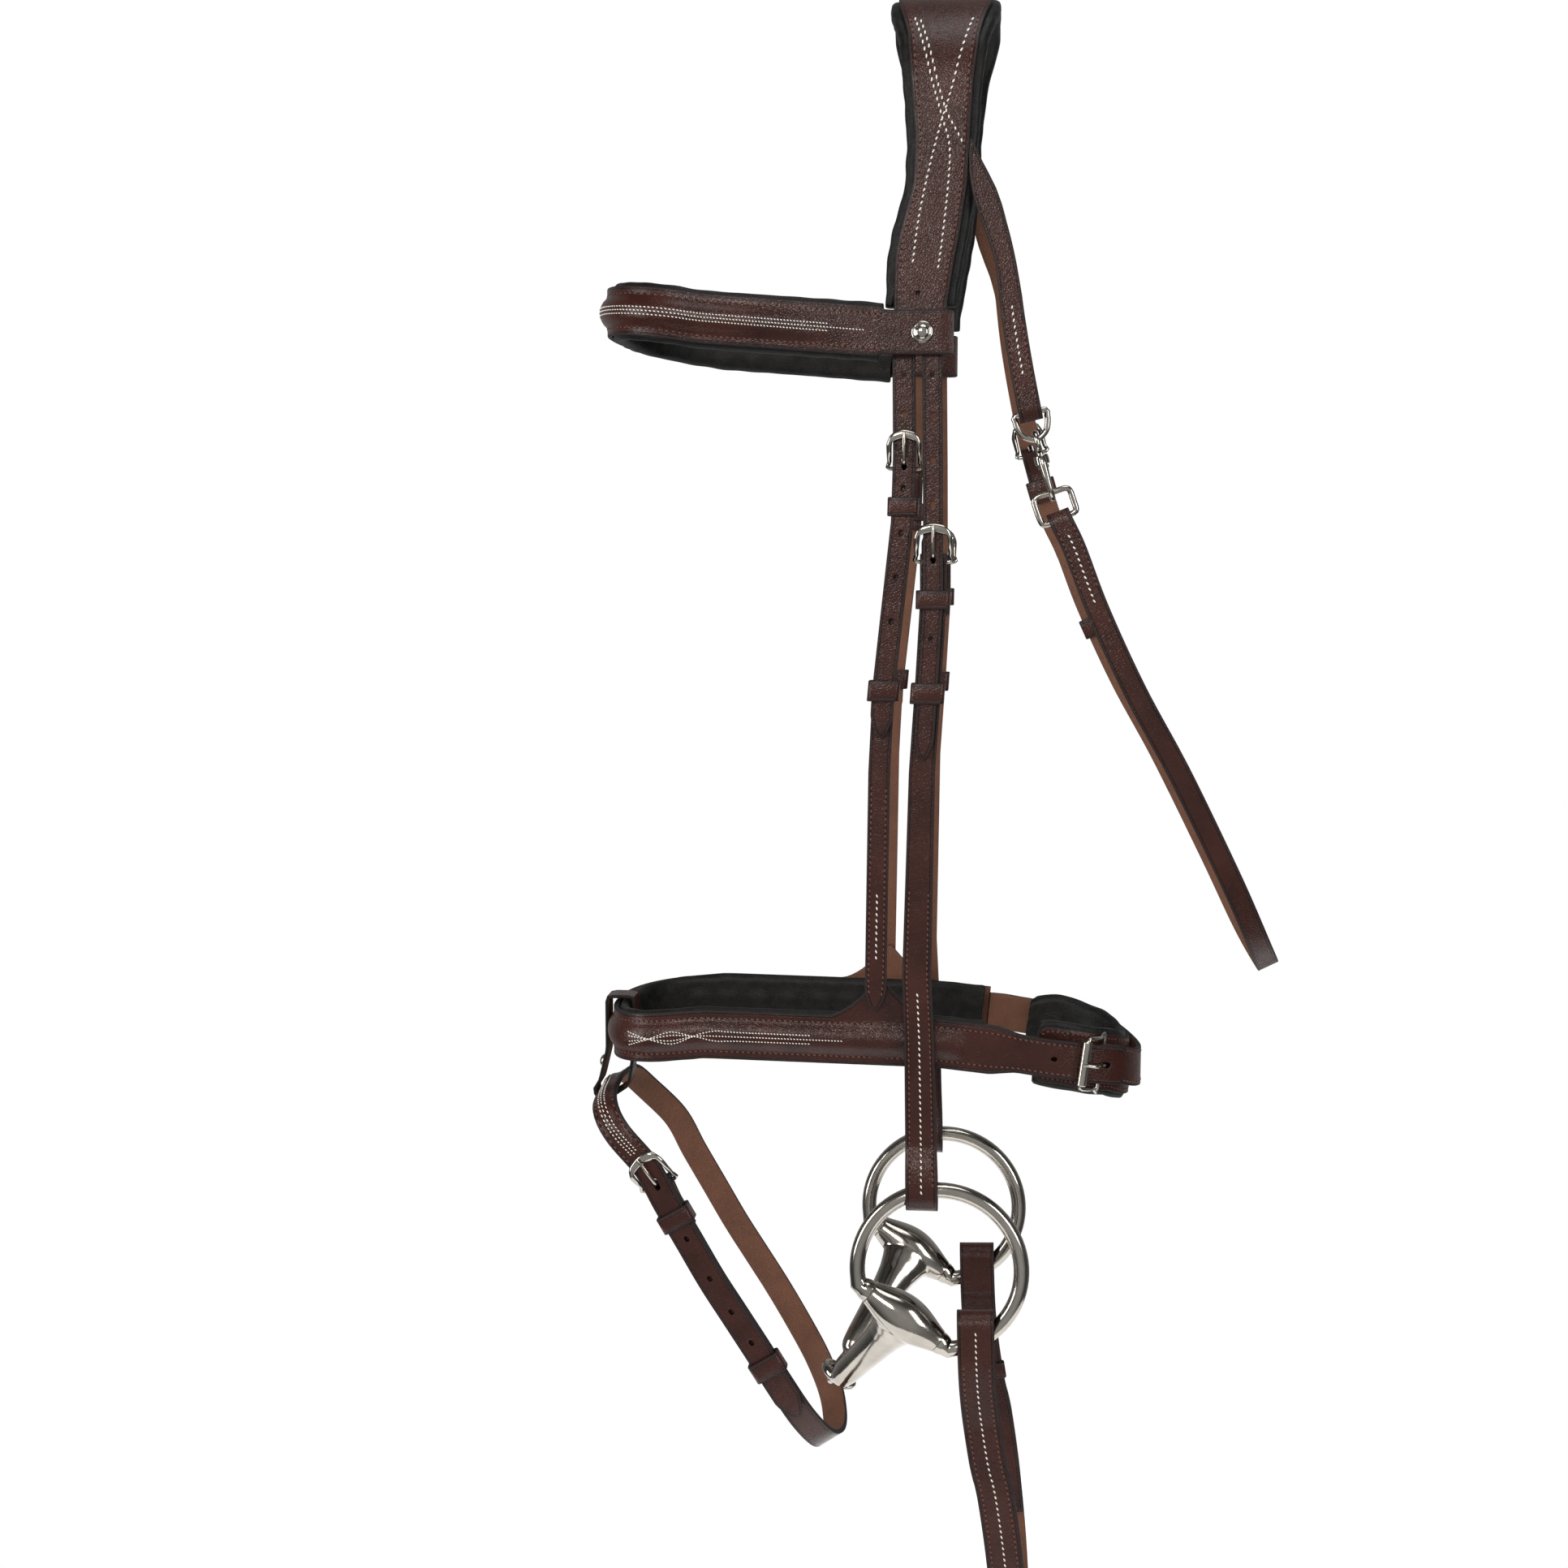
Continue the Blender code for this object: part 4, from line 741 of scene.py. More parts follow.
def run_line(low, high, w, step=6.0):
    """Points of a stitch line between two places along a strap; w is a number or a function of s."""
    count = max(1, round(abs(high - low) / step))
    marks = [low + (high - low) * k / count for k in range(count + 1)]
    return [(s, w(s) if callable(w) else w) for s in marks]


def white_stitches(name, course, lines, body="bridle", fine=False, lift=None):
    """Decorative white stitches, fine ones on the padded bands and coarser ones on plain straps."""
    width = looks().thread_width / MM
    pitch, width, share = (FANCY_STITCH, width * WHITE_FINER, 0.66) if fine else (WHITE_STITCH, width, 0.62)
    return settle(stitches(name, course, lines, pitch, width, white_thread(), lift=lift, share=share), body)


def edge_stitches(name, course, edge, low, high, body="bridle", inset=2.0, lift=None):
    """Brown stitches along both edges of a strap, each pulled down between two prick holes."""
    lines = [run_line(low, high, lambda s: float(edge(s)[0]) + inset),
             run_line(low, high, lambda s: float(edge(s)[1]) - inset)]
    piece = stitches(name, course, lines, BACKSTITCH, BROWN_WIDTH, brown_thread(), depth=-0.6, slant=0.25, lift=lift,
                     share=0.6)
    # Painted shade: black sunk marks in the edge paint stand for the shade inside the prick holes; no holes are cut.
    holes = stitches(name + "_pricks", course, [[(s + BACKSTITCH / 2, w) for s, w in line] for line in lines],
                     BACKSTITCH, PRICK_WIDTH, edge_paint(), depth=-1.0, slant=0.6, lift=lift, share=0.46)
    settle(piece, body)
    settle(holes, body)


# ---------------------------------------------------------------- strands

def head_line():
    down = [(0, -HEAD_HALF, z) for z in range(-600, -int(POLL_RISE), 10)]
    over = [(0, -HEAD_HALF * math.cos(a), POLL_RISE * math.sin(a) - POLL_RISE)
            for a in (math.pi * k / 48 for k in range(49))]
    return [*down, *over, *[(x, -y, z) for x, y, z in reversed(down)]]


def line_length(line):
    return float(np.sum(np.linalg.norm(np.diff(np.array(line, float), axis=0), axis=1)))


HEAD = Strand(head_line(), lambda p: (1, 0, 0), (0, -1, 0), line_length(head_line()) / 2)
ARCH = HEAD.length / 2 - (600.0 - POLL_RISE)


def down(depth):
    """The distance along the head strand from the poll to a depth below it."""
    return ARCH + depth - POLL_RISE


def depth_of(s):
    return np.abs(s) - ARCH + POLL_RISE


# The middle of each strap in x at depths below the poll
HANGER_X = [(40, -2.0), (104, -6.0), (136, -15.8), (158, -16.9), (201, -16.4), (231, -17.2),
            (243, -18.5), (309, -25.6), (345, -27.3), (457, -28.7)]
CHEEK_X = [(136, -4.6), (201, -3.6), (243, -3.2), (267, -3.0), (304, -5.0), (345, -7.6), (440, -9.4),
           (470, -8.0), (560, -6.0)]
CROWN_EDGES = [(0, -21.0, 21.0), (9, -19.0, 18.6), (20, -16.2, 15.8), (38, -14.2, 12.9), (62, -12.3, 11.6),
               (82, -12.9, 10.6), (104, -19.0, 7.4), (114, -20.9, 5.4), (CROWN_END - 3.0, -21.4, 2.3)]
LINING_GROWTH = 4.0
SLIPHEAD_IN = 5.8
CROWN_IN = SLIPHEAD_IN + LEATHER + GAP
LINING_EDGE = CROWN_IN - GAP


def hanger_middle(s):
    return between(HANGER_X, depth_of(s))


def cheek_middle(s):
    return between(CHEEK_X, depth_of(s))


def tip_half(depth, tip_at, half):
    """The half width of a strap that ends in a rounded point."""
    left = np.clip(tip_at - depth, 0.0, None)
    return np.where(left > 9.0, half, half * np.sqrt(np.clip(left / 9.0, 0.012, 1.0)) ** 0.95)


def crown_edge(s):
    depth = depth_of(s)
    low, high = between(CROWN_EDGES, depth)
    tip = tip_half(depth, CHEEK_TIP, BILLET_HALF)
    step = np.clip((depth - CROWN_END - 4.0) / 3.0, 0.0, 1.0)
    middle = cheek_middle(s)
    return low + (middle - tip - low) * step, high + (middle + tip - high) * step


def sliphead_edge(s):
    tip = tip_half(depth_of(s), HANGER_TIP, SLIPHEAD_HALF)
    return hanger_middle(s) - tip, hanger_middle(s) + tip


def even(half):
    return lambda s: (np.full_like(np.asarray(s, float), -half), np.full_like(np.asarray(s, float), half))


# ---------------------------------------------------------------- hardware

def wire_piece(name, points, radius, closed=True, step=1.2, radii=None):
    """A round steel wire bent along a smooth line through the points."""
    points = [np.array(p, float) for p in points]
    if closed:
        line = smooth_line([points[-1], *points, points[0], points[1]], step)
        first = next(k for k, p in enumerate(line) if np.allclose(p, points[0]))
        last = max(k for k, p in enumerate(line) if np.allclose(p, points[0]))
        line = line[first:last]
    else:
        line = smooth_line(points, step)
    curve = bpy.data.curves.new(name, "CURVE")
    curve.dimensions = "3D"
    curve.bevel_depth = radius * MM
    curve.bevel_resolution = 3
    curve.use_fill_caps = True
    spline = curve.splines.new("POLY")
    spline.points.add(len(line) - 1)
    spline.points.foreach_set("co", np.concatenate([np.array(line) * MM, np.ones((len(line), 1))], 1).ravel())
    spline.use_cyclic_u = closed
    if radii:
        places = np.linspace(0, 1, len(radii))
        spline.points.foreach_set("radius", np.interp(np.linspace(0, 1, len(line)), places, radii))
    piece = new_piece(name, curve)
    select_only(piece)
    bpy.ops.object.convert(target="MESH")
    wear(piece, steel())
    outward(piece, 60.0)
    return piece


def turned_piece(name, base, axis, profile, sides=32):
    """A turned piece: rings of a profile of (radius, height) drawn out along its axis."""
    base, axis = np.array(base, float), unit(np.array(axis, float))
    one = unit(np.cross(axis, (0.3, 1.0, 0.2)))
    two = np.cross(axis, one)
    deselect()
    radius, height = profile[0]
    ring = profile[0] == profile[-1]
    bpy.ops.mesh.primitive_circle_add(vertices=sides, radius=radius, fill_type="NOTHING" if ring else "NGON",
                                      location=(0, 0, 0))
    piece = bpy.context.object
    piece.name = name
    bpy.ops.object.mode_set(mode="EDIT")
    bpy.ops.transform.translate(value=(0, 0, height))
    for r, h in profile[1:]:
        bpy.ops.mesh.extrude_edges_move(TRANSFORM_OT_translate={"value": (0, 0, h - height)})
        bpy.ops.transform.resize(value=(r / radius, r / radius, 1), center_override=(0, 0, h))
        radius, height = r, h
    if not ring:
        bpy.ops.mesh.edge_face_add()
    bpy.ops.mesh.select_all(action="SELECT")
    bpy.ops.mesh.remove_doubles(threshold=1e-4)
    bpy.ops.object.mode_set(mode="OBJECT")
    rows = mesh_points(piece)
    set_points(piece, (base + rows[:, :1] * one + rows[:, 1:2] * two + rows[:, 2:] * axis) * MM)
    wear(piece, steel())
    outward(piece, 40.0)
    return piece


def buckle(prefix, strand, at_bar, way, middle, half, body, tongue_body, lift=0.0, roller=0.0):
    """A flat rounded frame with an arched top bar, and the tongue that rests over it."""
    wide = half + 0.5 + WIRE
    top = at_bar - way * BUCKLE_RISE
    top_t = TOP_T + (roller - WIRE if roller else 0.0)
    side_t = (BAR_T + top_t) / 2 + 0.6
    centre = float(middle(at_bar))
    arch = 0.0 if roller else 0.5
    corner = 0.45 if roller else 0.7
    frame_line = [(-wide, at_bar, BAR_T), (wide, at_bar, BAR_T), (wide + 0.15, at_bar - way * 3, BAR_T + 1.3),
                  (wide, at_bar - way * BUCKLE_RISE * 0.5, side_t),
                  (wide - 0.2, top + way * 3.4 * corner, top_t - 1.1 * corner),
                  (wide - 1.2 * corner, top + way * 0.9 * corner, top_t - 0.2), (wide - 3.2 * corner, top, top_t)]
    frame_line += [(0.0, top - way * arch, top_t)]
    frame_line += [(-w, s, t) for w, s, t in reversed(frame_line[2:-1])]
    made = wire_piece(prefix + "_buckle_looks", [(s, w, t) for w, s, t in frame_line], WIRE)
    rows = mesh_points(made) / MM
    beyond = (rows[:, 0] - top) * way
    share = np.clip((BUCKLE_RISE - 3.0 - np.abs(beyond)) / 8.0, 0.0, 1.0)
    if not roller:
        rows[:, 0] += way * 1.1 * np.clip(beyond, -1.5, 1.0) * share
        rows[:, 1] += np.sign(rows[:, 1]) * 0.6 * np.clip(np.abs(rows[:, 1]) - wide, 0.0, 1.0) * share
    set_points(made, strand.place(rows[:, 0], centre + rows[:, 1], lift + rows[:, 2]) * MM)
    outward(made, 60.0)
    settle(made, body, prefix + "_buckle", slot="steel")
    over = strand.place(top, centre, lift + top_t)
    across = strand.read(strand.across, at_bar)
    rest_t = top_t + max(WIRE, roller) + GAP + 0.9
    row = [(-0.3, BAR_T + 2.25), (0.9, BAR_T + 3.6), (2.6, BILLET_T + 1.3), (5.0, BILLET_T + 2.7), (9.0, rest_t - 0.5),
           (BUCKLE_RISE - 2.0, rest_t), (BUCKLE_RISE + 1.0, rest_t + 0.05), (BUCKLE_RISE + 2.0, rest_t - 0.1)]
    rising = strand.place(np.array([at_bar - way * a for a, _ in row]), centre, np.array([lift + t for _, t in row]))
    pin = wire_piece(prefix + "_tongue_looks", rising, 0.95, closed=False, step=0.8,
                     radii=[1.0, 1.0, 1.0, 1.0, 0.95, 0.9, 0.85, 0.55])
    settle(pin, tongue_body, prefix + "_tongue", slot="steel")
    if roller:
        length = 2 * wide - 3.4
        r, h = roller, length / 2
        tube = turned_piece(prefix + "_roller_looks", over, across,
                            [(1.3, -h), (r - 0.45, -h), (r, -h + 0.5), (r, h - 0.5), (r - 0.45, h), (1.3, h),
                             (1.3, -h)])
        settle(tube, prefix + "_roller", prefix + "_roller", slot="steel")


STACK_IN = RETURN_T - LEATHER / 2 - GAP
STACK_OUT = BILLET_T + LEATHER / 2 + GAP


def keeper_loop(name, strand, start, end, middle, half, body, lift=0.0, inside=STACK_IN, outside=STACK_OUT,
                solid=None, wall=KEEPER_WALL):
    """A flat leather loop round the straps, with rounded corners and a crease along both rims."""
    low_s, high_s = sorted((start, end))
    width, wide, deep = high_s - low_s, half + GAP + wall, (outside - inside) / 2 + wall
    middle_t = lift + (inside + outside) / 2
    deselect()
    bpy.ops.mesh.primitive_cube_add(size=2, scale=(width / 2, wide, deep), location=(0, 0, 0))
    piece = bpy.context.object
    piece.name = name
    bpy.ops.object.transform_apply(scale=True)
    bpy.ops.object.mode_set(mode="EDIT")
    bpy.ops.mesh.select_all(action="DESELECT")
    for face in bmesh.from_edit_mesh(piece.data).faces:
        face.select_set(abs(face.normal.x) > 0.5)
    bmesh.update_edit_mesh(piece.data)
    bpy.ops.mesh.delete(type="ONLY_FACE")
    bpy.ops.mesh.select_all(action="DESELECT")
    for side in bmesh.from_edit_mesh(piece.data).edges:
        side.select_set(abs(side.verts[0].co.x - side.verts[1].co.x) > 0.1)
    bmesh.update_edit_mesh(piece.data)
    bpy.ops.mesh.bevel(offset=wall + 0.9, segments=5, affect="EDGES")
    bpy.ops.object.mode_set(mode="OBJECT")
    apply_modifier(piece, "SOLIDIFY", thickness=wall, offset=-1.0, use_even_offset=True)
    apply_modifier(piece, "BEVEL", width=0.42, segments=2, limit_method="ANGLE", angle_limit=math.radians(60))
    flat = mesh_points(piece)
    paint(piece, loop_side)
    mark_edges(piece, flat[:, 0] + width / 2, width / 2 - flat[:, 0])
    s = flat[:, 0] + (low_s + high_s) / 2
    set_points(piece, strand.place(s, flat[:, 1] + middle(s), flat[:, 2] + middle_t) * MM)
    outward(piece)
    return settle(piece, body, *([solid] if solid else []))


def loop_side(face):
    inner = (face.normal.y * face.center.y + face.normal.z * face.center.z) < 0
    return 1 if abs(face.normal.x) > 0.5 else 2 if inner else 0


def keeper(prefix, strand, bar, way, middle, half, lift=0.0):
    """The fixed loop under a buckle."""
    start = bar + way * KEEPER_BELOW
    keeper_loop(prefix + "_keeper_leather", strand, start, start + way * KEEPER_LENGTH, middle, half, "bridle", lift,
                solid=prefix + "_keeper")


def runner(prefix, strand, start, way, middle, half, body, lift=0.0):
    """The loose loop that holds a billet's tip, round two layers of leather."""
    keeper_loop(prefix + "_runner_leather", strand, start, start + way * RUNNER_LENGTH, middle, half, body, lift,
                MAIN_T - LEATHER / 2 - GAP, solid=prefix + "_runner")


def zero(s):
    return np.zeros_like(np.asarray(s, float))


def tongue_slot(u, w=0.0):
    """The slot where a tongue stands in a strap's turn, as a hole on the flat strap."""
    return (u, w, TONGUE_SLOT_LONGER, TONGUE_RADIUS)


def tongue_hole(course, at_bar, way, middle=zero):
    s = at_bar - way * 2.0
    return (float(course.u_at(s)), float(middle(s)), TONGUE_HOLE_LONGER, TONGUE_RADIUS)


def strap_holes(course, places, middle=zero, radius=HOLE_RADIUS, length=HOLE_LONGER):
    return [(float(course.u_at(s)), float(middle(s)), length, radius) for s in places]


# ---------------------------------------------------------------- headpiece

def lay_crown():
    """The crown with its billets, the sliphead and the padded lining under both."""
    tip = down(CHEEK_TIP)
    course = Course(HEAD, [(-tip, CROWN_IN + LEATHER / 2), (tip, CROWN_IN + LEATHER / 2)])
    holes = []
    for side in (-1, 1):
        places = [side * down(d) for d in (165.7, 184.7, 204.1, 223.6, 284.2)]
        holes += strap_holes(course, places, cheek_middle)
        holes.append(tongue_hole(course, side * down(CHEEK_BUCKLE), side, cheek_middle))
        holes += strap_holes(course, [side * down(130.0)], lambda s: -10.7, 1.0, 0.3)
    crown = flat_strap("crown_leather", course, crown_edge, 10, holes=holes)
    settle(crown, "bridle", "crown_strap")
    white = []
    for side, prefix in SIDES:
        white += [fine_line([(side * down(-z), x) for x, z in line]) for line in FANCY_LINES]
        edge_stitches(prefix + "_crown_edge_stitching", course, crown_edge, side * down(13), side * down(127),
                      inset=2.3)
    white_stitches("crown_fancy_stitching", course, white)
    tip = down(HANGER_TIP)
    course = Course(HEAD, [(-tip, SLIPHEAD_IN + LEATHER / 2), (tip, SLIPHEAD_IN + LEATHER / 2)])
    holes = []
    for side in (-1, 1):
        holes += strap_holes(course, [side * down(d) for d in (165.5, 183.4, 216.3, 236.3, 256.4, 276.2)],
                             hanger_middle)
        holes.append(tongue_hole(course, side * down(HANGER_BUCKLE), side, hanger_middle))
    settle(flat_strap("sliphead_leather", course, sliphead_edge, 6, holes=holes), "bridle", "sliphead")


# White stitch lines on each side of the crown, by x and z
FANCY_LINES = (
    [(-13.3, -12.7), (-7.0, -32.0), (-0.5, -54.0), (2.8, -66.3), (2.2, -84.0), (-0.4, -108.5), (-2.1, -120.5)],
    [(-11.1, -12.8), (-5.0, -31.0), (0.9, -50.2), (5.2, -58.5), (8.5, -64.7)],
    [(12.7, -13.4), (6.6, -31.0), (0.9, -50.2), (-0.8, -55.1), (-6.0, -75.0), (-10.6, -97.0), (-13.3, -117.8)],
)


def fine_line(line):
    """Close points on a smooth curve through the places of a stitch line."""
    return [(p[0], p[1]) for p in smooth_line([(s, w, 0.0) for s, w in line])]


def pad_piece(name, strand, start, end, section, solid, step=4.0, seed=0):
    """A padded leather roll: its outline across it, a list of (w, t), is rounded and slightly wrinkled."""
    count = max(3, round(abs(end - start) / step))
    marks = np.linspace(start, end, count + 1)
    rings = []
    for s in marks:
        outline = np.array(section(float(s)), float)
        ring = []
        for one, two in zip(outline, np.roll(outline, -1, axis=0)):
            pieces = max(1, round(float(np.hypot(*(two - one))) / 2.2))
            ring += [one + (two - one) * k / pieces for k in range(pieces)]
        rings.append(np.array([*ring, ring[0]]))
    most = max(len(ring) for ring in rings) - 1
    rows = []
    for s, ring in zip(marks, rings):
        run = np.concatenate([[0.0], np.cumsum(np.hypot(*np.diff(ring, axis=0).T))])
        places = np.linspace(0, run[-1], most, endpoint=False)
        w, t = np.interp(places, run, ring[:, 0]), np.interp(places, run, ring[:, 1])
        rows.append(np.stack([np.full(most, s), w, t], 1))
    faces = [(i * most + k, i * most + (k + 1) % most, (i + 1) * most + (k + 1) % most, (i + 1) * most + k)
             for i in range(count) for k in range(most)]
    faces += [tuple(range(most))[::-1], tuple(count * most + k for k in range(most))]
    piece = mesh_piece(name, strand.place(*np.concatenate(rows).T) * MM, faces, padding())
    apply_modifier(piece, "BEVEL", width=0.0011, segments=2, limit_method="ANGLE", angle_limit=math.radians(40))
    apply_modifier(piece, "SUBSURF", levels=1, render_levels=1)
    ripple(piece, 0.00018, seed)
    bpy.ops.object.shade_smooth()
    settle(piece, "bridle", solid, slot="padding")


def mirrored(middle, right):
    """A pad's whole outline, from the height under its middle and the six places up its right side."""
    left = [(-w, t) for w, t in right]
    return [*left[2::-1], (0, middle), *right, *left[:2:-1]]


def ripple(piece, height, seed):
    """Small uneven waves over a soft piece, in the direction of its surface."""
    rows = mesh_points(piece)
    normals = np.empty(len(rows) * 3)
    piece.data.vertices.foreach_get("normal", normals)
    phase = seed * 1.7
    wave = (np.sin(rows[:, 0] * 410 + phase) * np.sin(rows[:, 2] * 350 + 1.3 * phase)
            + 0.6 * np.sin(rows[:, 1] * 520 + rows[:, 2] * 610 + phase))
    set_points(piece, rows + normals.reshape(-1, 3) * wave[:, None] * height)


def lay_crown_lining():
    """The padded lining under the crown, with a channel for the sliphead."""
    end = down(LINING_END)

    def section(s):
        low, high = between(CROWN_EDGES, depth_of(s))
        low, high = low - LINING_GROWTH, high + LINING_GROWTH
        middle = float(hanger_middle(s)) if depth_of(s) > 40 else -2.0
        left = max(low + 2.6, middle - SLIPHEAD_HALF - 1.2)
        right = middle + SLIPHEAD_HALF + 1.2
        floor = 5.4
        return [(low, 2.6), (low + 1.2, 0.7), (low + 3.4, 0.05), (high - 3.4, 0.05), (high - 1.2, 0.7), (high, 2.6),
                (high, LINING_EDGE - 2.0), (high - 1.0, LINING_EDGE - 0.5), (high - 2.6, LINING_EDGE),
                (right, LINING_EDGE - 0.1), (right, floor), (left, floor), (left, LINING_EDGE - 0.1),
                (low + 2.0, LINING_EDGE), (low + 0.7, LINING_EDGE - 0.6), (low, LINING_EDGE - 2.0)]

    pad_piece("crown_padding", HEAD, -end, end, section, "crown_lining", seed=1)


# ---------------------------------------------------------------- cheekpieces and hangers

FOOT_T = 5.6
RING_UNDER = RING_WIRE + 2.2


def foot_depth():
    """Depth of the bit ring's wire where the cheekpiece goes round it."""
    foot = CHEEK_X[-1][1]
    sides = (foot - CHEEK_FOOT_HALF - RING_X, foot + CHEEK_FOOT_HALF - RING_X)
    return -(RING_Z + sum(math.sqrt(RING_RADIUS ** 2 - x ** 2) for x in sides) / 2)


def cheek_edge(s):
    half = np.interp(depth_of(s), [345, 535], [CHEEK_HALF, CHEEK_FOOT_HALF])
    return cheek_middle(s) - half, cheek_middle(s) + half


def hanger_edge(s):
    depth = depth_of(s)
    half = tip_half(depth, HANGER_END, HANGER_HALF)
    return hanger_middle(s) - half, hanger_middle(s) + half


def middle_line(side, middle, depths):
    """A stitch line down the middle of a strap."""
    return [(side * down(d), float(middle(side * down(d)))) for d in depths]


def lay_cheek(side, prefix):
    """A cheekpiece from its buckle down to the turn round the bit ring."""
    at_bar = side * down(CHEEK_BUCKLE)
    path = round_bar(at_bar, side, CHEEK_LIFT, STRAP_RETURN)
    ring, reach, main = down(foot_depth()), RING_UNDER + LEATHER / 2, CHEEK_LIFT + MAIN_T
    path += [(side * (ring - 22.0), main), (side * (ring - 16.5), FOOT_T + reach - 3.0),
             (side * (ring - 12.0), FOOT_T + reach - 1.4), (side * (ring - 6.0), FOOT_T + reach - 0.3)]
    path += arc(side * ring, FOOT_T, side * reach, reach, 90, -7.5, 25)
    path += [(side * (ring - 6.0), FOOT_T - reach + 0.9), (side * (ring - 12.0), FOOT_T - reach + 3.0),
             (side * (ring - 17.0), main - LEATHER - GAP - 1.2), (side * (ring - 22.0), main - LEATHER - GAP),
             (side * (ring - 46.0), main - LEATHER - GAP)]
    course = Course(HEAD, path)
    name = prefix + "_cheek"
    holes = [tongue_slot(STRAP_RETURN + TO_TURN, float(cheek_middle(at_bar)))]
    settle(flat_strap(name + "_leather", course, cheek_edge, 6, holes=holes), "bridle", prefix + "_cheekpiece")
    white_stitches(name + "_fancy_stitching", course, [middle_line(side, cheek_middle, np.arange(447.7, 545.6, 5))])
    edge_stitches(name + "_edge_stitching", course, cheek_edge, side * down(400), side * down(538))
    edge_stitches(name + "_top_stitching", course, cheek_edge, side * down(CHEEK_BUCKLE + 6),
                  side * down(CHEEK_BUCKLE + 32))
    buckle(name, HEAD, at_bar, side, cheek_middle, CHEEK_HALF, "bridle", name + "_tongue", CHEEK_LIFT)
    keeper(name, HEAD, at_bar, side, cheek_middle, CHEEK_HALF, CHEEK_LIFT)
    runner(name, HEAD, side * down(CHEEK_BUCKLE + CHEEK_RUNNER), side, cheek_middle, CHEEK_HALF, name + "_runner",
           CHEEK_LIFT)


def lay_hanger(side, prefix):
    """A hanger from its buckle down to the noseband's flare, where it is sewn on."""
    at_bar = side * down(HANGER_BUCKLE)
    end = side * down(HANGER_END)
    path = round_bar(at_bar, side, 0.0, STRAP_RETURN)
    path += [(end - side * 60.0, MAIN_T), (end - side * 40.0, 4.0), (end - side * 20.0, 3.4), (end, 3.4)]
    course = Course(HEAD, path)
    name = prefix + "_hanger"
    holes = [tongue_slot(STRAP_RETURN + TO_TURN, float(hanger_middle(at_bar)))]
    settle(flat_strap(name + "_leather", course, hanger_edge, 6, holes=holes), "bridle", name)
    white_stitches(name + "_fancy_stitching", course, [middle_line(side, hanger_middle, np.arange(402, 437, 4))])
    edge_stitches(name + "_edge_stitching", course, hanger_edge, side * down(352), side * down(450), inset=1.6)
    buckle(name, HEAD, at_bar, side, hanger_middle, SLIPHEAD_HALF, "bridle", name + "_tongue")
    keeper(name, HEAD, at_bar, side, hanger_middle, SLIPHEAD_HALF)
    runner(name, HEAD, side * down(HANGER_BUCKLE + LONG_RUNNER), side, hanger_middle, SLIPHEAD_HALF + 0.3,
           name + "_runner")


# ---------------------------------------------------------------- browband

BROW_HALF = 49.0
BROW_BACK = 24.0
BROW_FRONT = -150.0
BROW_LINING = 6.3
BROW_RIDGE = 3.6
BROW_OUT = BROW_LINING + GAP + LEATHER / 2
LOOP_REAR = 4.3
LOOP_FRONT = -25.1


def front_line(half, back, front, square, height):
    """A level line round a face from the near side to the off side, flat-fronted."""
    centre = front + square
    nose = []
    for k in range(65):
        a = math.pi * k / 64
        c, s = math.cos(a), math.sin(a)
        nose.append((centre - square * abs(s) ** 0.8, -half * math.copysign(abs(c) ** 0.8, c)))
    side = [(x, -half) for x in range(round(back), round(centre), -6)]
    line = [*side, *nose, *[(x, -y) for x, y in reversed(side)]]
    return [(x, y, float(height(x))) for x, y in line]


def brow_height(x):
    return between([(BROW_FRONT, -133.0), (-110, -140.0), (-22, -147.3), (0, -147.5)], x)


BROW_LINE = front_line(BROW_HALF, BROW_BACK, BROW_FRONT, 34.0, brow_height)
BROW = Strand(BROW_LINE, lambda p: (0, 0, 1), (0, -1, 0), line_length(BROW_LINE) / 2)
BROW_AT = BROW.length / 2 - BROW_BACK


def brow_s(x):
    """The distance along the browband, from its middle, of a place x on its straight sides."""
    return BROW_AT + x


def brow_edge(s):
    half = np.where(np.abs(s) < BROW_AT + LOOP_FRONT - 3, BROWBAND_HALF, 9.8)
    return -half, half


def brow_ridge(s):
    return BROW_RIDGE * np.clip((BROW_AT + LOOP_FRONT - 12.0 - np.abs(s)) / 70.0, 0.0, 1.0)


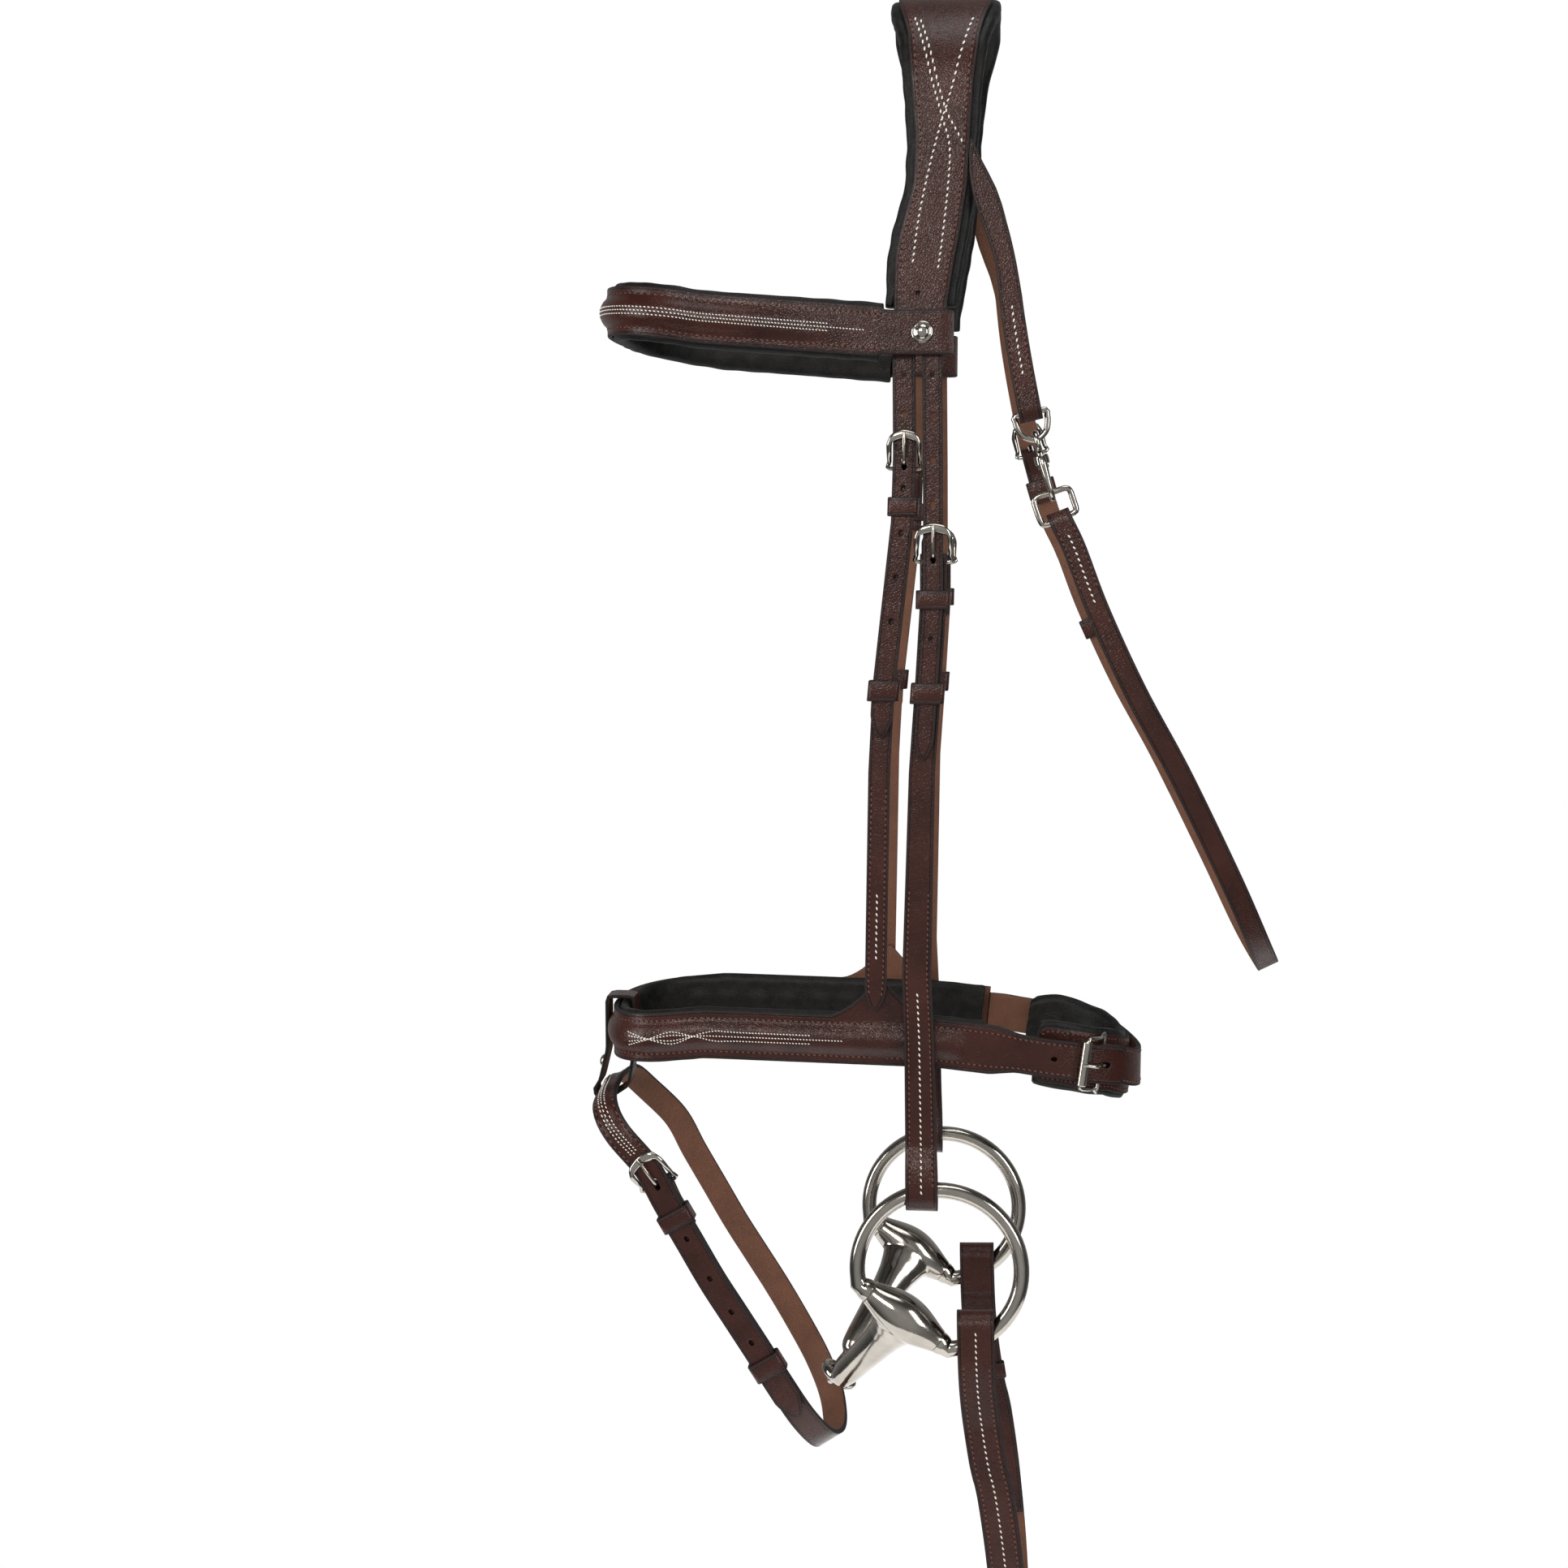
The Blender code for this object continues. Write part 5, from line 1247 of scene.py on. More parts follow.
def lay_browband():
    """The browband folded round the straps at its ends, with its stitching, lining and press studs."""
    rear, front = BROW_AT + LOOP_REAR, BROW_AT + LOOP_FRONT
    inner = -0.6
    hook = [(rear - 1.8, BROW_OUT), (rear - 0.5, BROW_OUT - 0.5), (rear, BROW_OUT - 1.8), (rear, inner + 1.8),
            (rear - 0.5, inner + 0.5), (rear - 1.8, inner), (front + 1.1, inner), (front, inner + 1.1),
            (front, BROW_OUT - LEATHER / 2 - GAP)]
    course = Course(BROW, [*[(-s, t) for s, t in reversed(hook)], *hook])
    settle(flat_strap("browband_leather", course, brow_edge, 14, ridge=brow_ridge), "bridle", "browband")

    lift = lift_of(brow_ridge, BROWBAND_HALF)
    lines = [run_line(-brow_s(x), brow_s(x), w, 4.0) for w, x in ((1.6, -51.0), (0.0, -34.0), (-1.6, -51.0))]
    white_stitches("browband_fancy_stitching", course, lines, fine=True, lift=lift)
    end = brow_s(-24.5)
    edge_stitches("browband_edge_stitching", course, lambda s: (-9.2, 9.2), -end, end, inset=1.6, lift=lift)
    outline = mirrored(-0.6, [(9.5, 0.1), (12.0, 0.7), (13.2, 2.6), (13.2, BROW_LINING - 2.2),
                              (12.5, BROW_LINING - 0.8), (11.2, BROW_LINING - 0.1)])
    reach = front - 1.7
    pad_piece("browband_padding", BROW, -reach, reach, lambda s: outline, "browband_lining", seed=2)
    for side, prefix in SIDES:
        base = BROW.place(side * (BROW_AT - 8.6), 0.0, BROW_OUT + LEATHER / 2 + 0.12)
        out = BROW.read(BROW.out, side * BROW_AT)
        stud = turned_piece(prefix + "_press_stud", base, out,
                            [(0.05, 0.0), (4.3, 0.0), (4.75, 0.25), (4.75, 0.55), (4.4, 0.85), (3.9, 0.95),
                             (3.6, 0.75), (3.3, 0.62), (3.0, 0.75), (2.6, 1.25), (1.9, 1.6), (1.0, 1.76),
                             (0.05, 1.8)], 40)
        settle(stud, "bridle", prefix + "_browband_stud", slot="steel")


# ---------------------------------------------------------------- noseband

NOSE_FRONT = -157.0
NOSE_LINING_IN = -6.0
NOSE_IN = -0.2
FLARE_OUT = NOSE_IN + LEATHER
NOSE_RIDGE = 3.0
LINING_PAST = 1.2
CHIN_X = 45.0
CHIN_HOLE_X = 52.5
CHIN_FRONT = 98.0
CHIN_BAR = 41.0
CHIN_TIP = 28.0
CHIN_ROLLER = 2.3
CHIN_LIFT = NOSE_IN + LEATHER / 2 - BILLET_T


def nose_height(x):
    return between([(NOSE_FRONT, -475.5), (-110, -470.5), (0, -472.5), (30, -475.5), (62, -480.0), (88, -485.5),
                    (98, -490.5)], x)


def nose_lines():
    """The near side of the chin, the line round the nose, and the off side of the chin."""
    nose = front_line(HEAD_HALF, CHIN_X, NOSE_FRONT, 34.0, nose_height)
    chin = []
    for k in range(1, 49):
        a = math.pi / 2 * k / 48
        chin.append((CHIN_X + (CHIN_FRONT - CHIN_X) * math.sin(a), HEAD_HALF * math.cos(a)))
    near = [(x, -y, float(nose_height(x))) for x, y in reversed(chin)]
    off = [(x, y, float(nose_height(x))) for x, y in chin]
    return near, nose, off


NEAR_CHIN, NOSE_MIDDLE, OFF_CHIN = nose_lines()
CHIN_SIDE = line_length(NEAR_CHIN)
CHIN_AT = (line_length([*NEAR_CHIN, *NOSE_MIDDLE, *OFF_CHIN, *NEAR_CHIN[1:]]) - CHIN_SIDE) / 2
NOSE = Strand([*NEAR_CHIN, *NOSE_MIDDLE, *OFF_CHIN, *NEAR_CHIN[1:]], lambda p: (0, 0, 1), (1, 0, 0), CHIN_AT)


def nose_s(x):
    """The distance from the nose's middle back to a place x on the straight sides."""
    return CHIN_AT - CHIN_SIDE - (CHIN_X - x)


def nose_edge(s):
    reach = np.abs(s)
    half = NOSEBAND_HALF - (NOSEBAND_HALF - CHIN_HALF) * np.clip((reach - nose_s(24.0)) / 12.0, 0, 1)
    half = np.minimum(half, tip_half(-s, CHIN_AT - CHIN_TIP, NOSEBAND_HALF))
    rise = np.clip(1.0 - np.abs(reach - nose_s(-29.0)) / 24.0, 0, 1) ** 1.6 * 19.0
    return -half, half + rise


def nose_ridge(s):
    return NOSE_RIDGE * np.sqrt(np.clip((nose_s(12.0) - np.abs(s)) / 12.0, 0.0, 1.0))


def lay_noseband():
    """The noseband with its flares, its raised middle, its stitching and its padded lining."""
    middle = NOSE_IN + LEATHER / 2
    course = Course(NOSE, [(-(CHIN_AT - CHIN_TIP), middle), (nose_s(22.0), middle)])
    holes = [tongue_hole(course, -(CHIN_AT - CHIN_BAR), -1), *strap_holes(course, [-nose_s(CHIN_HOLE_X)])]
    band = flat_strap("noseband_leather", course, nose_edge, 16, holes=holes)
    raise_middle(band, course, nose_ridge)
    settle(band, "bridle", "noseband")
    lift = lift_of(nose_ridge, NOSEBAND_HALF)
    cross = [(-147.0, 3.2), (-136.8, 0.0), (-127.0, -2.9), (-116.3, 0.0), (-106.0, 2.4), (-96.0, 2.1), (-60.7, 2.0)]
    lines = []
    for side in (-1, 1):
        for sign in (-1, 1):
            lines.append(fine_line([(side * nose_s(x), sign * w) for x, w in cross]))
            lines.append(fine_line([(side * nose_s(x), sign * w * 0.45) for x, w in cross[:4]]))
        lines.append(run_line(side * nose_s(-116.0), side * nose_s(-45.4), 0.0, 4.0))
    white_stitches("noseband_fancy_stitching", course, lines, fine=True, lift=lift)

    def sewn_edge(s):
        half = 9.6 - 1.1 * np.clip((np.abs(s) - nose_s(24.0)) / 12.0, 0, 1)
        return -half, half

    edge_stitches("noseband_edge_stitching", course, sewn_edge, 18.5 - (CHIN_AT - CHIN_BAR), nose_s(18.0), inset=1.7,
                  lift=lift)
    half = NOSEBAND_HALF + LINING_PAST
    inner, outer = NOSE_LINING_IN, NOSE_IN - GAP
    outline = mirrored(inner - 0.6, [(half - 3.4, inner + 0.1), (half - 1.2, inner + 0.7), (half, inner + 2.4),
                                     (half, outer - 2.0), (half - 0.7, outer - 0.6), (half - 2.0, outer - 0.05)])
    reach = nose_s(19.0)
    pad_piece("noseband_padding", NOSE, -reach, reach, lambda s: outline, "noseband_lining", seed=3)


def raise_middle(piece, course, ridge):
    """Raise the padded middle of a laid band where its width also changes at the flares."""
    rows = mesh_points(piece) / MM
    strand, places = course.strand, course.path[:, 0]
    line = np.array([strand.place(s, 0.0, NOSE_IN) for s in places])
    nearest = np.empty(len(rows), int)
    for start in range(0, len(rows), 4000):
        block = rows[start:start + 4000]
        nearest[start:start + 4000] = np.argmin(((block[:, None, :] - line[None]) ** 2).sum(-1), axis=1)
    s = places[nearest]
    out, away = strand.read(strand.out, s), rows - line[nearest]
    t, w = np.sum(away * out, axis=1), np.sum(away * strand.read(strand.across, s), axis=1)
    rise = np.where(t > LEATHER * 0.6, swell(w, NOSEBAND_HALF) * ridge(s), 0.0)
    set_points(piece, (rows + out * rise[:, None]) * MM)
    bpy.ops.object.shade_smooth_by_angle(angle=math.radians(50))


def lay_chin():
    """The chin strap with its roller buckle, and the padded guard under it."""
    bar, way = CHIN_AT + CHIN_BAR, -1
    path = round_bar(bar, way, CHIN_LIFT, CHIN_RETURN)
    path += [(nose_s(38.0), CHIN_LIFT + MAIN_T), (nose_s(30.0), CHIN_LIFT + MAIN_T + 1.2),
             (nose_s(22.0), NOSE_IN - GAP - LEATHER / 2 - 0.2)]
    course = Course(NOSE, path)
    edge = even(CHIN_HALF)
    holes = [tongue_slot(CHIN_RETURN + TO_TURN)]
    settle(flat_strap("chin_leather", course, edge, 8, holes=holes), "bridle", "chin_strap")
    edge_stitches("chin_edge_stitching", course, edge, bar - 12.0, nose_s(40.0))
    buckle("chin", NOSE, bar, way, zero, CHIN_HALF + 1.6, "bridle", "chin_tongue", CHIN_LIFT, CHIN_ROLLER)
    inside = CHIN_LIFT + RETURN_T - LEATHER / 2 - 2.4
    pad_from, pad_to = nose_s(42.0), CHIN_AT + CHIN_BAR + 46.0

    def section(s):
        share = min(1.0, max(0.0, (s - pad_from) / 16.0), max(0.0, (pad_to - s) / 16.0))
        half = 10.0 + 6.0 * share ** 0.5
        return mirrored(inside - 6.4, [(half - 3.4, inside - 5.9), (half - 1.2, inside - 5.2), (half, inside - 3.4),
                                       (half, inside - 1.6), (half - 0.7, inside - 0.5), (half - 2.0, inside - 0.05)])

    pad_piece("chin_guard", NOSE, pad_from, pad_to, section, "chin_pad", step=3.0, seed=4)
    lay_chin_face(pad_from, pad_to, inside)


def lay_chin_face(pad_from, pad_to, inside):
    """The thin leather face sewn on the guard, under the chin strap."""
    thick, first, last = 1.2, pad_from + 4.0, pad_to - 6.0

    def edge(s):
        reach = np.clip(np.minimum(s - pad_from, pad_to - s) / 16.0, 0.0, 1.0)
        ends = np.sqrt(np.clip(np.minimum(s - first, last - s) / 6.0, 0.05, 1.0))
        half = (7.4 + 6.0 * np.sqrt(reach)) * ends
        return -half, half

    course = Course(NOSE, [(first, inside + 0.75), (last, inside + 0.75)])
    settle(flat_strap("chin_guard_face", course, edge, 8, thick=thick, creased=False), "bridle")
    edge_stitches("chin_guard_stitching", course, edge, first + 4.0, last - 4.0, inset=2.2,
                  lift=lambda s, w: (thick - LEATHER) / 2)


# ---------------------------------------------------------------- flash

FLASH_NEAR = [(-156.5, -28, -514), (-151, -37, -521), (-137, -40, -535.5), (-128, -40, -552),
              (-117, -40, -571), (-106, -40, -590), (-95, -40, -607), (-84, -40, -624), (-73, -39, -642),
              (-64, -36, -657), (-57, -27, -669), (-54, -14, -675)]
FLASH_TOP = (-158.5, 0, -512)
FLASH_FOOT = (-53, 0, -677)
FLASH_BAR_Z = -545.0
FLASH_TIP = 128.0
FLASH_RIDGE = 2.2
FLASH_LOOP_WALL = 1.6
FLASH_LOOP_HALF = 7.0
FLASH_LOOP = smooth_line([FLASH_TOP, *FLASH_NEAR, FLASH_FOOT, *[(x, -y, z) for x, y, z in reversed(FLASH_NEAR)],
                          FLASH_TOP])
FLASH = Strand([*FLASH_LOOP, *FLASH_LOOP[1:len(FLASH_LOOP) // 2]], lambda p: (0.83, 0, 0.56), (0, 0, 1))
FLASH_ROUND = line_length(FLASH_LOOP)


def lay_flash():
    """The flash strap, lapped over itself on the near side, and the band that carries it."""
    bar = FLASH.find(2, FLASH_BAR_Z, 30, 120)
    tip = FLASH_ROUND + bar + FLASH_TIP
    path = round_bar(bar, 1, 0.0, THIN_RETURN)
    path += [(FLASH_ROUND * 0.55, MAIN_T), (FLASH_ROUND * 0.75, BILLET_T), (tip, BILLET_T)]
    course = Course(FLASH, path)

    def edge(s):
        half = tip_half(s, tip, FLASH_HALF)
        return -half, half

    def ridge(s):
        return FLASH_RIDGE * np.clip(1.0 - np.clip(np.abs(s - FLASH_ROUND - 18.0) - 22.0, 0, None) / 12.0, 0, 1)

    over = FLASH_ROUND + bar
    places = [FLASH_ROUND + FLASH.find(2, z, 60, 260) for z in (-569.4, -588.5, -604.5, -619.3, -631.8)]
    holes = [tongue_slot(THIN_RETURN + TO_TURN), tongue_hole(course, over, 1),
             *strap_holes(course, places, length=0.8)]
    settle(flat_strap("flash_leather", course, edge, 10, ridge=ridge, holes=holes), "bridle", "flash_strap")
    lift = lift_of(ridge, FLASH_HALF)
    lines = [run_line(FLASH_ROUND - 34.0, over - 19.0, w, 3.0) for w in (-1.7, 0.0, 1.7)]
    white_stitches("flash_fancy_stitching", course, lines, fine=True, lift=lift)
    edge_stitches("flash_edge_stitching", course, even(FLASH_HALF), FLASH_ROUND - 40.0, over - 17.0, inset=1.5,
                  lift=lift)
    buckle("flash", FLASH, bar, 1, zero, FLASH_HALF, "bridle", "flash_tongue")
    keeper("flash", FLASH, bar, 1, zero, FLASH_HALF)
    runner("flash", FLASH, bar + LONG_RUNNER, 1, zero, FLASH_HALF, "bridle")
    lay_flash_band()


def lay_flash_band():
    """The thin band round the noseband's front, riveted under it."""
    clear = GAP + FLASH_LOOP_WALL / 2
    front = NOSE_FRONT - FLARE_OUT - NOSE_RIDGE - clear
    back = NOSE_FRONT - NOSE_LINING_IN + clear
    top = float(nose_height(NOSE_FRONT)) + NOSEBAND_HALF + LINING_PAST + clear
    under = float(nose_height(NOSE_FRONT)) - NOSEBAND_HALF - LINING_PAST
    side = FLASH_HALF + clear + 0.5
    low = MAIN_T - LEATHER / 2 - clear - 0.5
    high = BILLET_T + LEATHER / 2 + clear
    corners = [(back, under), (back, top), (front, top), (front, under)]
    places = [FLASH.place(FLASH_ROUND, w, t) for w, t in
              ((-FLASH_HALF * 0.4, high + FLASH_RIDGE), (-side, high), (-side, low), (side, low))]
    corners += [(p[0], p[2]) for p in places]
    line = rounded_line([np.array([x, 0.0, z]) for x, z in corners], 1.6)
    band = Strand(line, lambda p: (0, 1, 0), (1, 0, 0))
    if band.out[np.argmax(band.point[:, 2])][2] < 0:
        band.out = -band.out
    course = Course(band, [(0.0, 0.0), (band.length - 0.02, 0.0)], 1.0)
    strip = flat_strap("flash_band_leather", course, even(FLASH_LOOP_HALF), 6, thick=FLASH_LOOP_WALL)
    settle(strip, "bridle", "flash_loop")
    one, two = np.array([front, 0.0, under]), np.array([corners[4][0], 0.0, corners[4][1]])
    away = unit(np.cross(two - one, (0.0, 1.0, 0.0)))
    away = away if away[0] < 0 else -away
    stud = turned_piece("flash_band_stud", one + (two - one) * 0.45 + away * (FLASH_LOOP_WALL / 2 + 0.1), away,
                        [(0.05, -0.6), (2.9, -0.6), (3.1, 0.3), (2.9, 0.9), (2.0, 1.7), (0.9, 2.1), (0.05, 2.2)], 32)
    settle(stud, "bridle", slot="steel")


def rounded_line(corners, radius, step=0.8):
    """A closed line through corners, each rounded off, that starts in the middle of its first side."""
    count = len(corners)
    line = [(corners[0] + corners[-1]) / 2]
    for k in range(count):
        here, back, ahead = corners[k], corners[k - 1], corners[(k + 1) % count]
        into, away = unit(here - back), unit(ahead - here)
        reach = min(radius, np.linalg.norm(here - back) / 2.2, np.linalg.norm(ahead - here) / 2.2)
        one, two = here - into * reach, here + away * reach
        line += [(1 - u) ** 2 * one + 2 * u * (1 - u) * here + u * u * two for u in np.linspace(0, 1, 6)]
    line.append(line[0])
    full = []
    for one, two in zip(line, line[1:]):
        pieces = max(1, round(np.linalg.norm(two - one) / step))
        full += [one + (two - one) * k / pieces for k in range(pieces)]
    return [*full, line[-1]]


# ---------------------------------------------------------------- throatlatch

THROAT_BASE = HEAD_HALF + 2.5
THROAT_NEAR = [(19.8, -THROAT_BASE, -76), (27, -THROAT_BASE, -107), (32.3, -THROAT_BASE, -145),
               (38.8, -THROAT_BASE, -179), (44, -THROAT_BASE, -200), (52, -THROAT_BASE, -226),
               (60, -THROAT_BASE, -243), (71, -THROAT_BASE, -271), (88, -THROAT_BASE, -307),
               (109, -44, -345), (133, -38, -393), (147, -26, -423)]
THROAT_TOP = (18.6, -THROAT_BASE, -63)
THROAT_FOOT = (153, 0, -434)
THROAT_TILT = [(-430, 27.0), (-260, 26.0), (-180, 13.0), (-60, 14.0)]
# Both edges of the near strap where it leaves the crown, by the distance from its top
THROAT_ROOT = [(0.0, -6.9, -6.0), (3.0, -7.2, -4.6), (8.0, -7.6, -2.6), (14.0, -8.4, -0.4), (22.0, -9.0, 1.6),
               (30.0, -8.6, 2.5), (38.0, -7.6, 2.8), (46.0, -6.2, 3.4), (56.0, -5.0, 4.2), (70.0, -5.2, 5.0),
               (84.0, -5.2, 5.2)]
D_RING_Z = -183.0
THROAT_BAR_Z = -196.0
THROAT_RUNNER_Z = -276.0
RING_WIRE_SMALL = 1.4
THROAT_LOOP = RING_WIRE_SMALL + GAP + LEATHER / 2
SNAP_T = BILLET_T - THROAT_LOOP
D_RING_LENGTH = 12.0
SNAP_RING_TOP = 36.6
SNAP_RING_FOOT = 49.0


def throat_across(point):
    angle = math.radians(float(between(THROAT_TILT, point[2])))
    return (math.cos(angle), 0, math.sin(angle))


THROAT_LINE = smooth_line([THROAT_TOP, *THROAT_NEAR, THROAT_FOOT,
                           *[(x, -y, z) for x, y, z in reversed([THROAT_TOP, *THROAT_NEAR])]])
THROAT = Strand(THROAT_LINE, throat_across, (0, -1, 0))
THROAT_END = THROAT.length


def lay_throat():
    """The throatlatch: near strap, lower strap, and the off billet with its buckle."""
    d_ring = THROAT.find(2, D_RING_Z, 0, 300)
    low_ring = d_ring + SNAP_RING_FOOT
    edge = even(THROAT_HALF)
    path = [*round_bar(d_ring, -1, 0.0, THIN_RETURN, SNAP_T, THROAT_LOOP, BILLET_T), (0.0, BILLET_T)]
    course = Course(THROAT, path)
    strap = flat_strap("near_throat_leather", course, lambda s: between(THROAT_ROOT, s), 8)
    settle(strap, "bridle", "near_throat_strap")
    white_stitches("near_throat_fancy_stitching", course, [run_line(d_ring - 48, d_ring - 16, 0.0)])
    edge_stitches("near_throat_edge_stitching", course, edge, d_ring - 40, d_ring - 6, inset=1.5)
    bar = THROAT.find(2, THROAT_BAR_Z, THROAT_END, THROAT_END / 2)
    path = round_bar(low_ring, 1, 0.0, THIN_RETURN, SNAP_T, THROAT_LOOP, BILLET_T)
    path += [(THROAT_END * 0.5, BILLET_T), (THROAT_END * 0.65, MAIN_T)]
    path += reversed(round_bar(bar, -1, 0.0, THIN_RETURN))
    course = Course(THROAT, path)
    holes = [tongue_slot(course.length - THIN_RETURN - TO_TURN)]
    settle(flat_strap("throat_leather", course, edge, 6, holes=holes), "bridle", "throat_strap")
    lines = [run_line(low_ring + 8, low_ring + 42, 0.0), run_line(bar - 24, bar - 58, 0.0)]
    white_stitches("throat_fancy_stitching", course, lines)
    edge_stitches("throat_edge_stitching", course, edge, low_ring + 5, low_ring + 34, inset=1.5)
    edge_stitches("throat_off_stitching", course, edge, bar - 5, bar - 34, inset=1.5)
    tip = bar - 62.0
    course = Course(THROAT, [(tip, BILLET_T), (THROAT_END, BILLET_T)])

    def billet_edge(s):
        half = tip_half(-s, -tip, THROAT_HALF)
        low, high = between(THROAT_ROOT, THROAT_END - np.asarray(s))
        return np.maximum(-half, low) + np.minimum(low + THROAT_HALF, 0), np.minimum(half, high)

    places = [THROAT.find(2, z, THROAT_END, THROAT_END / 2) for z in (-149.7, -167.6, -214.0, -232.0)]
    holes = [*strap_holes(course, places), tongue_hole(course, bar, -1)]
    settle(flat_strap("off_throat_leather", course, billet_edge, 6, holes=holes), "bridle", "off_throat_billet")
    buckle("throat", THROAT, bar, -1, zero, THROAT_HALF, "bridle", "throat_tongue")
    keeper("throat", THROAT, bar, -1, zero, THROAT_HALF)
    start = THROAT.find(2, THROAT_RUNNER_Z, THROAT_END, THROAT_END / 2)
    clear = LEATHER / 2 + GAP
    keeper_loop("throat_runner_leather", THROAT, start, start - RUNNER_LENGTH, zero, THROAT_HALF, "bridle",
                inside=MAIN_T - clear, outside=MAIN_T + clear)
    lay_snap(d_ring)


def lay_snap(d_ring):
    """The D ring, the swivel snap and the square ring that it clips to."""
    def place(w, s, t=0.0):
        return THROAT.place(d_ring + s, w, SNAP_T + t)

    arc = [(-7, 0), (0, 0), (7, 0), (7.2, 2.5), (7, 5), (5, 9.5), (0, D_RING_LENGTH), (-5, 9.5), (-7, 5), (-7.2, 2.5)]
    settle(wire_piece("d_ring_looks", [place(w, s) for w, s in arc], RING_WIRE_SMALL), "bridle", "throat_d_ring",
           slot="steel")
    foot = SNAP_RING_FOOT
    arc = [(-6.5, SNAP_RING_TOP), (0, SNAP_RING_TOP), (6.5, SNAP_RING_TOP), (8.3, SNAP_RING_TOP + 1.6),
           (8.5, SNAP_RING_TOP + 5), (8.5, foot - 4), (8.2, foot - 1), (6.5, foot), (0, foot), (-6.5, foot),
           (-8.2, foot - 1), (-8.5, foot - 4), (-8.5, SNAP_RING_TOP + 5), (-8.3, SNAP_RING_TOP + 1.6)]
    settle(wire_piece("square_ring_looks", [place(w, s) for w, s in arc], RING_WIRE_SMALL), "bridle", "throat_ring",
           slot="steel")
    eye, wire_r = 4.2, 1.3
    middle = D_RING_LENGTH + eye - wire_r - RING_WIRE_SMALL - GAP
    ring = wire_piece("swivel_eye", [place(0, middle + eye * math.cos(a), eye * math.sin(a))
                                     for a in (math.pi * k / 10 for k in range(20))], wire_r)
    stem_from = middle + eye
    way = place(0, stem_from + 8) - place(0, stem_from)
    stem = turned_piece("swivel_stem", place(0, stem_from - 0.4), way,
                        [(0.05, 0), (1.5, 0), (1.5, 6.9), (2.5, 6.95), (2.5, 8.1), (2.2, 8.4), (0.05, 8.4)], 24)
    settle(joined("snap_swivel_looks", [ring, stem]), "snap_swivel", "snap_swivel", slot="steel")
    collar = stem_from + 1.9
    body = turned_piece("snap_collar", place(0, collar), way,
                        [(1.9, 0), (3.0, 0), (3.3, 0.4), (3.4, 2.1), (3.3, 3.9), (2.9, 4.2), (1.9, 4.2), (1.9, 0)], 28)
    bend = wire_piece("snap_bend", [place(0, s, t) for s, t in
                                    ((collar + 1.4, 3.6), (21.5, 4.1), (26, 4.8), (31, 5.0), (36, 4.2), (39.0, 1.6),
                                     (39.6, -1.0), (38.4, -3.6), (35.6, -4.8))], wire_r, closed=False,
                      radii=[1.5, 1.5, 1.35, 1.15, 1.0, 1.0, 1.0, 1.0, 0.95])
    gate_top = collar + 5.6
    lug = wire_piece("snap_lug", [place(0, collar + 2.0, -3.7), place(0, gate_top - 0.4, -4.0)], 1.1, closed=False)
    settle(joined("snap_hook_looks", [body, bend, lug]), "bridle", "snap_hook", slot="steel")
    gate = wire_piece("snap_gate_looks", [place(0, gate_top, -4.0), place(0, (gate_top + 33.8) / 2, -4.6),
                                          place(0, 33.8, -4.8)], 1.1, closed=False)
    settle(gate, "snap_gate", "snap_gate", slot="steel")


def joined(name, pieces):
    """Join pieces of one fitting into one mesh."""
    select_only(*pieces)
    bpy.ops.object.join()
    pieces[0].name = name
    return pieces[0]


# ---------------------------------------------------------------- bit

PIN = 2.4
PIN_GAP = 0.4
SHOULDER = 5.3
SHOULDER_END = 6.1
JOINT_GAP = 0.4
BARREL_MIDDLE = 10.6
MOUTH_DROP = 58.0
EYE_RADIUS = 7.5
EYE_WIRE = 2.3
EYE_SLACK = 0.5


def ring_point(degrees, radius=RING_RADIUS):
    angle = math.radians(degrees)
    return np.array([RING_X + radius * math.cos(angle), 0.0, RING_Z + radius * math.sin(angle)])


BARREL_A = ring_point(BARREL_FROM)
BARREL_B = ring_point(BARREL_TO)
BARREL_WAY = unit(BARREL_B - BARREL_A)
MOUTH_WAY = np.array([BARREL_WAY[2], 0.0, -BARREL_WAY[0]])
BARREL_MID = (BARREL_A + BARREL_B) / 2


